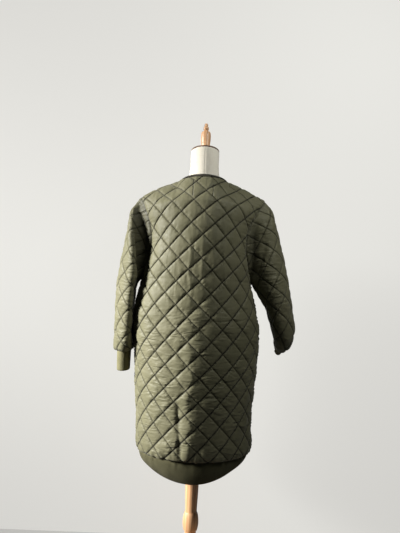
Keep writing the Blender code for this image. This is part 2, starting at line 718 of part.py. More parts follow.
# ------------------------------------------------------------------- dress form
def form_ring(z, half_width, back, front, point):
    ring = []
    for i in range(FORM_SIDES):
        angle = 2 * math.pi * i / FORM_SIDES
        rise = math.sin(angle)
        depth = back * abs(rise) ** point if rise > 0 else -front * abs(rise) ** point
        ring.append(Vector((half_width * math.cos(angle), depth, z)))
    return ring


def slanted_ring(radius, lift):
    """Ring in the slanted plane of the neck top, lift above it."""
    ring = []
    for i in range(FORM_SIDES):
        angle = 2 * math.pi * i / FORM_SIDES
        x, y = radius * math.cos(angle), radius * math.sin(angle)
        ring.append(Vector((x, y, NECK_TOP_Z + lift + NECK_SLANT * y)))
    return ring


def make_form(materials, collection):
    rings = [form_ring(*row) for row in FORM]
    rings.append(form_ring(NECK_TUBE_Z, NECK_RADIUS, NECK_RADIUS, NECK_RADIUS, 1.0))
    rings.append(slanted_ring(NECK_RADIUS, 0.0))
    keep("form_body", loft_mesh("form_body", rings), materials["cream_linen"], collection)
    edge = NECK_RADIUS - TRIM_INSET
    lifts = (SEAM_GAP, SEAM_GAP + TRIM_TALL)
    outer = [slanted_ring(edge, lift) for lift in lifts]
    inner = [slanted_ring(edge - TRIM_WIDE, lift) for lift in lifts]
    keep("neck_trim", wall_mesh("neck_trim", outer, inner, True),
         materials["brown_trim"], collection)
    cap_edge = edge - TRIM_WIDE - SEAM_GAP
    cap = [slanted_ring(cap_edge, SEAM_GAP), slanted_ring(cap_edge, SEAM_GAP + CAP_TALL),
           slanted_ring(cap_edge * CAP_DOME_WIDE, SEAM_GAP + CAP_DOME_TALL)]
    keep("neck_cap", loft_mesh("neck_cap", cap), materials["cream_linen"], collection)


def make_turned(name, profile, location, tilt, materials, collection):
    """Turned piece: a profile down its outer side, spun by a Screw modifier."""
    mesh = bpy.data.meshes.new(name)
    points = [(radius, 0, z) for radius, z in profile]
    mesh.from_pydata(points, [(i, i + 1) for i in range(len(points) - 1)], [])
    piece = bpy.data.objects.new(name, mesh)
    collection.objects.link(piece)
    mesh.materials.append(materials["turned_wood"])
    spin = piece.modifiers.new("spin", "SCREW")
    spin.steps = POLE_SIDES
    spin.render_steps = POLE_SIDES
    spin.use_merge_vertices = True
    spin.merge_threshold = 0.0001
    spin.use_smooth_shade = True
    piece.location = location
    piece.rotation_euler = (tilt, 0, 0)
    return piece


def make_stand(materials, collection):
    cap_top = NECK_TOP_Z + SEAM_GAP + CAP_DOME_TALL + SEAM_GAP
    make_turned("finial", FINIAL, (0, 0, cap_top), math.atan(NECK_SLANT), materials, collection)
    make_turned("pole", POLE, (0, 0, 0), 0, materials, collection)
    make_turned("base", BASE, (0, 0, 0), 0, materials, collection)


def main():
    clear_scene()
    collection = bpy.data.collections.new("quilted_coat_on_dress_form")
    bpy.context.scene.collection.children.link(collection)
    materials = make_materials()
    make_body(materials, collection)
    make_sleeves(materials, collection)
    make_cuffs(materials, collection)
    make_hem_rib(materials, collection)
    make_binding(materials, collection)
    make_front_band(materials, collection)
    make_form(materials, collection)
    make_stand(materials, collection)


main()
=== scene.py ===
"""Looks of the quilted coat on its dress form: geometry, finishes, light and camera.

Everything is in metres in the shared frame: +Z up, the coat's back faces +Y and
the wearer's left is +X. Each class builds one sub-assembly and dresses it.
"""
from __future__ import annotations

import logging
import math
from dataclasses import dataclass, field
from enum import Enum
from typing import Callable, Sequence

import bpy
import numpy as np
from mathutils import Matrix, Vector


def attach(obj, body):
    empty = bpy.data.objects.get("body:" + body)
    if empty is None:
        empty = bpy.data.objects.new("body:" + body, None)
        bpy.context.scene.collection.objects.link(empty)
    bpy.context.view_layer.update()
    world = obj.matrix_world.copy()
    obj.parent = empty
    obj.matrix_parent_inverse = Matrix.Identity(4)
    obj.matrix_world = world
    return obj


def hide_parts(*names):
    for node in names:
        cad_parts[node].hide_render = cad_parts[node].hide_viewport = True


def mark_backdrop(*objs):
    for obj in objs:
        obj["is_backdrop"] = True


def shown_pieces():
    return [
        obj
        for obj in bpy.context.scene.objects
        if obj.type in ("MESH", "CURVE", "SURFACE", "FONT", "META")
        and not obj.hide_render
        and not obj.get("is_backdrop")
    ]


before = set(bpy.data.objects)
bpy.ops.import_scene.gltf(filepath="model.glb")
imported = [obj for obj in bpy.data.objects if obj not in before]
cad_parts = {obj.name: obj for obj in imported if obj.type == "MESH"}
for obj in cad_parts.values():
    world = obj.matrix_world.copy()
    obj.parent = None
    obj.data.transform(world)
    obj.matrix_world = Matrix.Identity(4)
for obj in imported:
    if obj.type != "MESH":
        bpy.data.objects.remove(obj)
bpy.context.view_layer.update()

log = logging.getLogger("coat")

Array = np.ndarray
Colour = tuple[float, float, float]
Pair = tuple[float, float]
Socket, Material, Piece = bpy.types.NodeSocket, bpy.types.Material, bpy.types.Object
BODY = "root"


class Face(Enum):
    """Which side of the coat a panel lies on."""

    BACK = 1
    FRONT = -1


# ---------- curve helpers
def ease(value: Array) -> Array:
    """Smooth step from 0 to 1."""
    v = np.clip(value, 0.0, 1.0)
    return v * v * (3 - 2 * v)


def hermite(p0: Array, p1: Array, m0: Array, m1: Array, f: Array) -> Array:
    """Cubic from p0 to p1 with the tangents m0 and m1, at the share f."""
    f2, f3 = f * f, f * f * f
    return p0 * (2 * f3 - 3 * f2 + 1) + m0 * (f3 - 2 * f2 + f) + p1 * (3 * f2 - 2 * f3) + m1 * (f3 - f2)


def table_at(table: Array, t: Array) -> Array:
    """Values of a table at the fractional rows t, on smooth curves through its rows."""
    k = np.clip(t.astype(int), 0, len(table) - 2)
    before, after = np.maximum(k - 1, 0), np.minimum(k + 2, len(table) - 1)
    m0 = (table[k + 1] - table[before]) / 2
    m1 = (table[after] - table[k]) / 2
    return hermite(table[k], table[k + 1], m0, m1, (t - k)[:, None])


def unit(vectors: Array) -> Array:
    """Vectors scaled to length 1."""
    return vectors / np.maximum(np.linalg.norm(vectors, axis=-1, keepdims=True), 1e-12)


def run_along(line: Array) -> Array:
    """Length along a line of points up to each of them."""
    return np.concatenate([[0], np.cumsum(np.linalg.norm(np.diff(line, axis=0), axis=1))])


def ripple(s: Array, length: float, seed: float) -> Array:
    """Uneven wave along s with about the given wavelength, from -1 to 1."""
    swing = 1.3 * np.sin(2 * math.pi * s / (2.7 * length) + seed)
    swell = 0.62 + 0.38 * np.sin(2 * math.pi * s / (4.1 * length) + 2.1 * seed)
    return np.sin(2 * math.pi * s / length + swing + 3.7 * seed) * swell


# ---------- mesh helpers
def put(name: str, data: bpy.types.ID) -> Piece:
    """Link a new object that shows the given mesh, light or camera."""
    obj = bpy.data.objects.new(name, data)
    bpy.context.scene.collection.objects.link(obj)
    return obj


def make_object(name: str, points: Array, faces: Sequence, material: Material,
                smooth: bool = True) -> Piece:
    """Link a mesh object.

    Args:
        name: The object's name.
        points: Vertex positions, (n, 3).
        faces: Vertex indices of each face.
        material: Its only material.
        smooth: Whether faces shade smooth.

    Returns:
        The new object.
    """
    mesh = bpy.data.meshes.new(name)
    mesh.from_pydata(np.asarray(points).tolist(), [],
                     faces.tolist() if isinstance(faces, np.ndarray) else list(faces))
    mesh.materials.append(material)
    if smooth:
        mesh.shade_smooth()
    mesh.update()
    return put(name, mesh)


def grid_faces(rows: int, columns: int, closed: bool = False, start: int = 0) -> Array:
    """Quads of a rows by columns grid of vertices.

    Args:
        rows: Rows of vertices.
        columns: Vertices in each row.
        closed: Whether the last column joins the first.
        start: Index of the first vertex.

    Returns:
        Vertex indices, (n, 4).
    """
    r, c = np.meshgrid(np.arange(rows - 1), np.arange(columns if closed else columns - 1), indexing="ij")
    d = (c + 1) % columns
    quads = np.stack([r * columns + c, r * columns + d, (r + 1) * columns + d, (r + 1) * columns + c], -1)
    return quads.reshape(-1, 4) + start


def face_outwards(obj: Piece, directions: Array) -> None:
    """Turn the faces so that they agree with the given directions.

    Args:
        obj: A mesh object.
        directions: The way out at each vertex, (n, 3).
    """
    mesh = obj.data
    count = len(mesh.polygons)
    normals = np.empty(count * 3, dtype=np.float32)
    mesh.polygons.foreach_get("normal", normals)
    first = np.empty(count, dtype=np.int32)
    mesh.polygons.foreach_get("loop_start", first)
    corner = np.empty(len(mesh.loops), dtype=np.int32)
    mesh.loops.foreach_get("vertex_index", corner)
    if (normals.reshape(-1, 3) * directions[corner[first]]).sum() < 0:
        mesh.flip_normals()
        mesh.update()


def renumber(size: int, kept: Array) -> Array:
    """New index of each kept vertex out of size vertices, and -1 for the others."""
    again = np.full(size, -1)
    again[kept] = np.arange(len(kept))
    return again


def paint(obj: Piece, name: str, values: Array) -> None:
    """Store a vector for each vertex, for the shaders to read."""
    layer = obj.data.attributes.new(name, "FLOAT_VECTOR", "POINT")
    layer.data.foreach_set("vector", np.asarray(values, dtype=np.float32).ravel())


def carry(obj: Piece, slot: str, *nodes: str) -> None:
    """Let a piece ride on the part and stand for CAD nodes.

    Args:
        obj: The piece.
        slot: Not used.
        nodes: CAD nodes that it replaces, or none.
    """
    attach(obj, BODY)
    if nodes:
        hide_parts(*nodes)


# ---------- shader helper
class Painter:
    """Builds one node material; values are sockets, which it links, or plain ones, which it sets."""

    def __init__(self, name: str) -> None:
        """Start a material with an empty Principled shader."""
        self.material = bpy.data.materials.new(name)
        self.material.use_nodes = True
        self.tree = self.material.node_tree
        self.shader = self.tree.nodes["Principled BSDF"]

    def feed(self, socket: Socket, value: object) -> None:
        """Link a socket to the value if that is a socket too, else set it."""
        if isinstance(value, Socket):
            self.tree.links.new(value, socket)
        else:
            socket.default_value = (*value, 1) if socket.type == "RGBA" else value

    def node(self, kind: str, **settings: object) -> bpy.types.Node:
        """Add a node.

        Args:
            kind: Its type.
            settings: Values for its inputs, by name with underscores, and its other options.

        Returns:
            The node.
        """
        made = self.tree.nodes.new(kind)
        for key, value in settings.items():
            socket = made.inputs.get(key.replace("_", " "))
            if socket is None:
                setattr(made, key, value)
            else:
                self.feed(socket, value)
        return made

    def math(self, operation: str, a: object, b: object = 0.0) -> Socket:
        """Result of a sum on two values."""
        made = self.node("ShaderNodeMath", operation=operation)
        for value, socket in zip((a, b), made.inputs):
            self.feed(socket, value)
        return made.outputs[0]

    def attribute(self, name: str) -> Socket:
        """Vector attribute that the mesh carries."""
        return self.node("ShaderNodeAttribute", attribute_name=name).outputs["Vector"]

    def place(self) -> Socket:
        """Object coordinates in metres."""
        return self.node("ShaderNodeTexCoord").outputs["Object"]

    def scaled(self, source: Socket, scale: tuple[float, float, float]) -> Socket:
        """A vector times a scale."""
        return self.node("ShaderNodeMapping", Vector=source, Scale=scale).outputs[0]

    def split(self, source: Socket) -> list[Socket]:
        """The x, y and z of a vector."""
        return list(self.node("ShaderNodeSeparateXYZ", Vector=source).outputs)

    def noise(self, where: Socket, scale: float, detail: float = 3.0, roughness: float = 0.55,
              warp: float = 0.0) -> Socket:
        """Noise from 0 to 1 at a place."""
        return self.node("ShaderNodeTexNoise", Vector=where, Scale=scale, Detail=detail,
                         Roughness=roughness, Distortion=warp).outputs["Fac"]

    def range(self, fac: Socket, low: float, high: float, to_low: float = 0.0,
              to_high: float = 1.0) -> Socket:
        """Map a value from one range to another, clamped."""
        return self.node("ShaderNodeMapRange", Value=fac, From_Min=low, From_Max=high, To_Min=to_low,
                         To_Max=to_high).outputs[0]

    def mix(self, fac: object, a: object, b: object) -> Socket:
        """Mix two colours by a factor; each may be a socket or a colour."""
        made = self.node("ShaderNodeMix", data_type="RGBA")
        for value, k in ((fac, 0), (a, 6), (b, 7)):
            self.feed(made.inputs[k], value)
        return made.outputs[2]

    def bump(self, height: Socket, distance: float, strength: float = 1.0,
             under: Socket | None = None) -> Socket:
        """Bump of a height in metres, laid over another one if given."""
        made = self.node("ShaderNodeBump", Height=height, Distance=distance, Strength=strength)
        if under is not None:
            self.feed(made.inputs["Normal"], under)
        return made.outputs[0]

    def finish(self, colour: object, roughness: object, normal: Socket,
               **constants: object) -> Material:
        """Wire the shader.

        Args:
            colour: Base colour, a socket or a tuple.
            roughness: A socket or a number.
            normal: Bumped normal.
            constants: Other inputs by name with underscores, as plain values.

        Returns:
            The finished material.
        """
        values = {"Base Color": colour, "Roughness": roughness, "Normal": normal, **constants}
        for key, value in values.items():
            self.feed(self.shader.inputs[key.replace("_", " ")], value)
        return self.material


# ---------- the coat's sizes
NECK_HALF_WIDTH, SHOULDER_TIP = 0.080, 0.222
NECK_SIDE_Z, NECK_BACK_RISE, NECK_FRONT_DROP = 1.3860, 0.0085, 0.080
NECK_BACK_DEPTH, NECK_FRONT_DEPTH = 0.076, 0.092
SHOULDER_SLOPE, SHOULDER_ROUND = 0.33, 1.0
NECK_SHARE, NECK_CURVE = 0.40, 1.5
NECK_PULL_BACK, NECK_LIFT_BACK = 0.045, 0.085
NECK_PULL_FRONT, NECK_LIFT_FRONT = 0.035, 0.055
NECK_PULL_SIDE, SEAM_PULL_NECK, SEAM_PULL_TIP, SEAM_FADE = 0.050, 0.060, 0.100, 1.5
UNDERARM_ROW, TOP_ROW = 7, 12
ARMHOLE_DEPTH, ARMHOLE_ROUND = 0.063, 0.65
YOKE_TURN, YOKE_FADE, YOKE_STEP = 34, 1.4, 0.05
QUILT_WALL, RIB_WALL, SEAM_GAP = 0.0040, 0.0026, 0.0003
STITCH_DEPTH = 0.0025        # of the quilting lines under the coat's outer form
SEAM_EASE = 0.014            # over which the cloth turns to its seam's direction
NECK_CAP_TALL = 0.00765      # of the disc on the dress form's neck
ROWS_BESIDE_ARM, YOKE_ROWS = 8, 4

# Levels of the body: z, rise to the centre back and front, half widths to the
# wearer's left and right, depth of the back and the front.
BODY_ROWS = np.array([
    (0.430, 0.000, 0.000, 0.1960, 0.1930, 0.1740, 0.1620),
    (0.458, 0.000, 0.000, 0.2050, 0.2030, 0.1850, 0.1720),
    (0.560, 0.000, 0.000, 0.2090, 0.2000, 0.1850, 0.1720),
    (0.660, 0.000, 0.000, 0.2175, 0.2075, 0.1820, 0.1690),
    (0.760, 0.000, 0.000, 0.2225, 0.2145, 0.1780, 0.1660),
    (0.860, 0.004, 0.000, 0.2325, 0.2160, 0.1730, 0.1630),
    (0.945, 0.008, 0.002, 0.2270, 0.1990, 0.1670, 0.1600),
    (1.025, 0.014, 0.002, 0.2080, 0.1790, 0.1620, 0.1560),
    (1.085, 0.016, 0.002, 0.1880, 0.1650, 0.1590, 0.1520),
    (1.150, 0.018, -0.004, 0.1750, 0.1570, 0.1540, 0.1440),
    (1.212, 0.024, -0.012, 0.1790, 0.1620, 0.1460, 0.1320),
    (1.270, 0.034, -0.024, 0.2000, 0.1900, 0.1330, 0.1160),
])
# Rings of a sleeve: outer line x and z, inner line x and z, half depth, shift
# to the back, curl to the body, lean in degrees.
SLEEVE_LEFT = np.array([
    (0.2460, 1.293, 0.2140, 1.021, 0.066, 0.000, 0.000, 0),
    (0.2590, 1.235, 0.2230, 1.009, 0.078, 0.002, 0.011, 0),
    (0.2720, 1.160, 0.2320, 0.994, 0.086, 0.004, 0.019, 0),
    (0.2845, 1.088, 0.2390, 0.970, 0.088, 0.004, 0.023, 0),
    (0.2950, 1.012, 0.2410, 0.935, 0.087, 0.002, 0.024, 0),
    (0.2975, 0.940, 0.2400, 0.892, 0.084, 0.000, 0.022, 0),
    (0.2980, 0.872, 0.2385, 0.850, 0.080, -0.002, 0.019, 0),
    (0.2965, 0.818, 0.2340, 0.808, 0.075, -0.004, 0.014, 0),
    (0.2950, 0.784, 0.2310, 0.786, 0.064, -0.005, 0.008, 0),
    (0.2870, 0.769, 0.2370, 0.772, 0.046, -0.006, 0.002, 0),
])
SLEEVE_RIGHT = np.array([
    (0.2440, 1.291, 0.1860, 1.016, 0.064, 0.000, 0.000, 0),
    (0.2620, 1.238, 0.1960, 1.002, 0.074, 0.000, 0.004, 0),
    (0.2810, 1.168, 0.2080, 0.984, 0.080, 0.000, 0.006, 0),
    (0.3010, 1.092, 0.2230, 0.962, 0.083, 0.001, 0.008, -2),
    (0.3190, 1.010, 0.2400, 0.930, 0.083, 0.000, 0.006, -4),
    (0.3340, 0.930, 0.2560, 0.884, 0.080, -0.003, 0.004, -8),
    (0.3440, 0.877, 0.2670, 0.847, 0.074, -0.012, 0.002, -22),
    (0.3410, 0.845, 0.2740, 0.828, 0.065, -0.030, 0.000, -40),
    (0.3330, 0.833, 0.2800, 0.824, 0.054, -0.054, 0.000, -55),
    (0.3220, 0.832, 0.2870, 0.824, 0.042, -0.072, 0.000, -62),
])
# Rings of the hem rib: size left, right and in depth, drop at back, sides, front.
RIB_RINGS = np.array([
    (1.000, 1.000, 1.000, 0.0000, 0.0000, 0.0000),
    (0.982, 0.970, 0.992, 0.0260, 0.0160, 0.0190),
    (0.945, 0.910, 0.968, 0.0520, 0.0300, 0.0380),
    (0.870, 0.805, 0.925, 0.0760, 0.0410, 0.0560),
])
RIB_FALL = 2.4
CUFF_LENGTH, CUFF_TAPER = 0.068, 0.93


# In the next functions face is 1 for the back and -1 for the front, c the columns from -1 at
# the right seam to 1 at the left, and t the rows from 0 at the hem's seam to TOP_ROW. They
# return points or directions, (n, 3).

def top_edge(face: Array | int, c: Array) -> Array:
    """Points of a panel's upper edge: neckline, then shoulder seam."""
    side, share = np.where(c >= 0, 1.0, -1.0), np.abs(c)
    run = (SHOULDER_TIP - NECK_HALF_WIDTH) * (share - NECK_SHARE) / (1 - NECK_SHARE)
    seam_z = NECK_SIDE_Z - SHOULDER_SLOPE * run - SHOULDER_ROUND * run * run
    turn = math.pi / 2 * np.minimum(share / NECK_SHARE, 1)
    depth = np.where(face > 0, NECK_BACK_DEPTH, NECK_FRONT_DEPTH)
    rise = np.where(face > 0, NECK_BACK_RISE, -NECK_FRONT_DROP)
    neck_z = NECK_SIDE_Z + rise * np.maximum(np.cos(turn), 0) ** NECK_CURVE
    on = share >= NECK_SHARE
    return np.stack([side * np.where(on, NECK_HALF_WIDTH + run, NECK_HALF_WIDTH * np.sin(turn)),
                     np.where(on, 0, face * depth * np.cos(turn)), np.where(on, seam_z, neck_z)], -1)


def top_pull(face: Array | int, c: Array) -> Array:
    """Direction and pull of the cloth as it reaches a panel's upper edge."""
    side, share = np.where(c >= 0, 1.0, -1.0), np.abs(c)
    inward = np.where(face > 0, NECK_PULL_BACK, NECK_PULL_FRONT)
    upward = np.where(face > 0, NECK_LIFT_BACK, NECK_LIFT_FRONT)
    turn = math.pi / 2 * np.minimum(share / NECK_SHARE, 1)
    co, si = np.cos(turn), np.sin(turn)
    neck = np.stack([-side * NECK_PULL_SIDE * si, -face * (inward * co + SEAM_PULL_NECK * si),
                     upward * co + SHOULDER_SLOPE * NECK_PULL_SIDE * si], -1)
    out = (share - NECK_SHARE) / (1 - NECK_SHARE)
    fade = 1 - ease(out * SEAM_FADE)
    slope = SHOULDER_SLOPE + 2 * SHOULDER_ROUND * (SHOULDER_TIP - NECK_HALF_WIDTH) * out
    over = SEAM_PULL_TIP + (SEAM_PULL_NECK - SEAM_PULL_TIP) * fade
    seam = np.stack([-side * NECK_PULL_SIDE * fade, -face * over, slope * NECK_PULL_SIDE * fade], -1)
    return np.where((share <= NECK_SHARE)[:, None], neck, seam)


def body_section(face: Array | int, c: Array, t: Array) -> Array:
    """Points of the body below the yoke."""
    z, rise_back, rise_front, left, right, back, front = table_at(BODY_ROWS, t).T
    beside = np.maximum(t - UNDERARM_ROW, 0) / (TOP_ROW - UNDERARM_ROW)
    edge = ARMHOLE_DEPTH * np.maximum(np.sin(math.pi * beside), 0) ** ARMHOLE_ROUND * (beside > 0)
    turn = np.radians(90 - YOKE_TURN * ease(beside * YOKE_FADE))
    depth, rise = np.where(face > 0, back, front), np.where(face > 0, rise_back, rise_front)
    across = np.sin(c * turn) / np.sin(turn)
    lift = (np.cos(c * turn) - np.cos(turn)) / (1 - np.cos(turn))
    x = (left - right) / 2 + (left + right) / 2 * across
    return np.stack([x, face * (edge + (depth - edge) * lift), z + rise * lift], -1)


def body_points(face: Array | int, c: Array, t: Array) -> Array:
    """Points of the coat's outer form, with the yoke on top."""
    last = float(TOP_ROW - 1)
    start = body_section(face, c, np.full_like(t, last))
    rise = (start - body_section(face, c, np.full_like(t, last - YOKE_STEP))) / YOKE_STEP
    high = hermite(start, top_edge(face, c), rise, top_pull(face, c), (t - last)[:, None])
    return np.where((t <= last)[:, None], body_section(face, c, np.minimum(t, last)), high)


class Surface:
    """A patch of the coat's outer form: p across it, q along it."""

    p0, p1, q0, q1 = -1.0, 1.0, 0.0, float(TOP_ROW)
    flip = 1.0
    STEP_P, STEP_Q, ROUND = 0.002, 0.004, False       # steps of the normals; whether p runs on

    def points(self, p: Array, q: Array) -> Array:
        """Points in metres at the parameters p and q."""
        raise NotImplementedError

    def normals(self, p: Array, q: Array) -> Array:
        """Outward unit normals."""
        a0, a1 = p - self.STEP_P, p + self.STEP_P
        if not self.ROUND:
            a0, a1 = np.maximum(a0, self.p0), np.minimum(a1, self.p1)
        b0, b1 = np.maximum(q - self.STEP_Q, self.q0), np.minimum(q + self.STEP_Q, self.q1)
        across = self.points(a1, q) - self.points(a0, q)
        along = self.points(p, b1) - self.points(p, b0)
        return unit(np.cross(across, along)) * self.flip

    def walls(self, p: Array, q: Array, reach: Array) -> Array:
        """Directions through the cloth, shared with the neighbour at each seam.

        Args:
            p: Parameters across.
            q: Parameters along.
            reach: Distances to the four borders.

        Returns:
            Unit vectors, (n, 3).
        """
        return self.normals(p, q)

    def heights(self, x: Array, q: Array) -> Array:
        """How far up the cloth each point of a (row, column) grid lies."""
        along = np.linalg.norm(np.diff(x, axis=0), axis=2)
        return np.concatenate([np.zeros((1, x.shape[1])), np.cumsum(along, 0)], 0)


class BodySurface(Surface):
    """Back or front of the body, or one half of it."""

    MIDDLE = 0.6             # column |p| from which a side seam counts

    def __init__(self, face: Face, p0: float = -1.0, p1: float = 1.0) -> None:
        """Take the columns p0 to p1 of a face."""
        self.face, self.p0, self.p1 = face, p0, p1
        self.flip = -float(face.value)

    def points(self, p: Array, q: Array) -> Array:
        """Points in metres at column p and row q."""
        return body_points(self.face.value, p, q)

    def walls(self, p: Array, q: Array, reach: Array) -> Array:
        """Directions through the cloth, shared at the side seam and level at the shoulder."""
        n = self.normals(p, q)
        flat = unit(n * (1, 0, 1))
        away = np.where(np.abs(p) < self.MIDDLE, 1.0, np.where(p < 0, reach[:, 0], reach[:, 1]))
        below = (q <= UNDERARM_ROW)[:, None]
        seam = np.where(below, flat, armhole_wall(self.face.value, np.where(p < 0, -1, 1), q))
        share = ease(away / SEAM_EASE)[:, None]
        n = unit(n * share + seam * (1 - share))
        shoulder = np.where(np.abs(p) > NECK_SHARE, ease(reach[:, 3] / SEAM_EASE), 1)[:, None]
        return unit(n * shoulder + unit(n * (1, 0, 1)) * (1 - shoulder))


class SleeveSurface(Surface):
    """A sleeve: angle p round it, 0 on its outer line, ring q from the armhole down."""

    p0, p1 = -math.pi, math.pi
    STEP_P, ROUND = 0.006, True
    LEAN = 7                 # column of a sleeve's table
    ARM, BEND, WRIST = 2.0, 5, 6.0     # rings between which the arm's line is taken

    def __init__(self, side: int) -> None:
        """Take the side: 1 is the wearer's left, -1 the right."""
        self.side, self.flip = side, -float(side)
        self.table = SLEEVE_LEFT if side > 0 else SLEEVE_RIGHT
        self.q1 = float(len(self.table))

    def levels(self, angle: Array) -> tuple[Array, Array]:
        """Face of the body, 1 or -1, and its row that meet the armhole at the given angles."""
        turn = np.mod(angle / math.pi, 2)
        fall = np.where(turn <= 1, turn, 2 - turn)
        return np.where(turn <= 1, 1, -1), TOP_ROW - (TOP_ROW - UNDERARM_ROW) * fall

    def rings(self, angle: Array) -> Array:
        """The point of every ring at the given angles, the armhole first.

        Args:
            angle: Angles round the sleeve.

        Returns:
            The points, (ring, n, 3).
        """
        face, t = self.levels(angle)
        rings = [body_points(face, np.full_like(t, float(self.side)), t)]
        for ox, oz, ix, iz, depth, shift, curl, lean in self.table:
            lean = math.radians(lean)
            middle = np.array([(ox + ix) / 2, shift, (oz + iz) / 2])
            across = np.array([(ox - ix) / 2, 0, (oz - iz) / 2])
            back = np.array([0, math.cos(lean), math.sin(lean)])
            p = middle + np.cos(angle)[:, None] * across + (depth * np.sin(angle))[:, None] * back
            p[:, 0] -= curl * np.sin(angle) ** 2
            p[:, 0] *= self.side
            rings.append(p)
        return np.stack(rings)

    def points(self, p: Array, q: Array) -> Array:
        """Points in metres at angle p and ring q."""
        rings, last = self.rings(p), len(self.table)
        k, i = np.clip(q.astype(int), 0, last - 1), np.arange(len(p))
        start, end = rings[k, i], rings[k + 1, i]
        before, after = rings[np.maximum(k - 1, 0), i], rings[np.minimum(k + 2, last), i]
        m0 = np.where((k > 0)[:, None], (end - before) / 2, end - start)
        m1 = np.where((k + 1 < last)[:, None], (after - start) / 2, end - start)
        return hermite(start, end, m0, m1, (q - k)[:, None])

    def heights(self, x: Array, q: Array) -> Array:
        """How far up the sleeve each point lies, from its cuff end, along the arm's line."""
        middle = x.mean(1)
        lean = np.radians(np.interp(q, np.arange(1, len(self.table) + 1), self.table[:, self.LEAN]))
        run = middle[np.searchsorted(q, self.WRIST)] - middle[np.searchsorted(q, self.ARM)]
        tilt = run[0] / abs(run[2]) * (1 - ease((q - self.BEND) / 2.5))
        line = unit(np.stack([tilt, np.sin(lean), -np.cos(lean)], 1))
        step = (np.diff(middle, axis=0) * (line[1:] + line[:-1]) / 2).sum(1)
        beside = ((x - middle[:, None]) * line[:, None]).sum(2)
        down = np.concatenate([[0], np.cumsum(step)])[:, None] + beside
        up = down[-1].mean() - down
        return np.minimum.accumulate(up, axis=0) - 1e-6 * np.arange(len(q))[:, None]

    def walls(self, p: Array, q: Array, reach: Array) -> Array:
        """Directions through the cloth; reach is the distance to each border."""
        face, t = self.levels(p)
        seam = armhole_wall(face, np.full(len(p), self.side), t)
        share = ease(reach[:, 2] / SEAM_EASE)[:, None]
        return unit(self.normals(p, q) * share + seam * (1 - share))


def armhole_wall(face: Array | int, side: Array, t: Array) -> Array:
    """Wall direction that the body and a sleeve share at the armhole.

    Args:
        face: 1 for the back, -1 for the front.
        side: 1 for the wearer's left, -1 for the right.
        t: Rows of the body.

    Returns:
        Unit vectors, (n, 3), level at the underarm and the shoulder.
    """
    t = np.clip(t, UNDERARM_ROW, TOP_ROW)
    fall = (TOP_ROW - t) / (TOP_ROW - UNDERARM_ROW)
    face = np.broadcast_to(face, t.shape)
    out = np.zeros((len(t), 3))
    for s in (-1, 1):
        sleeve = SleeveSurface(s)
        for f in Face:
            on = (side == s) & (face == f.value)
            if not on.any():
                continue
            body = BodySurface(f).normals(np.full(on.sum(), float(s)), t[on])
            hung = sleeve.normals(f.value * fall[on] * math.pi, np.full(on.sum(), YOKE_STEP))
            out[on] = unit(body + hung)
    end = ((fall > 0.999) | (fall < 0.001))[:, None]
    return np.where(end, unit(out * (1, 0, 1)), out)


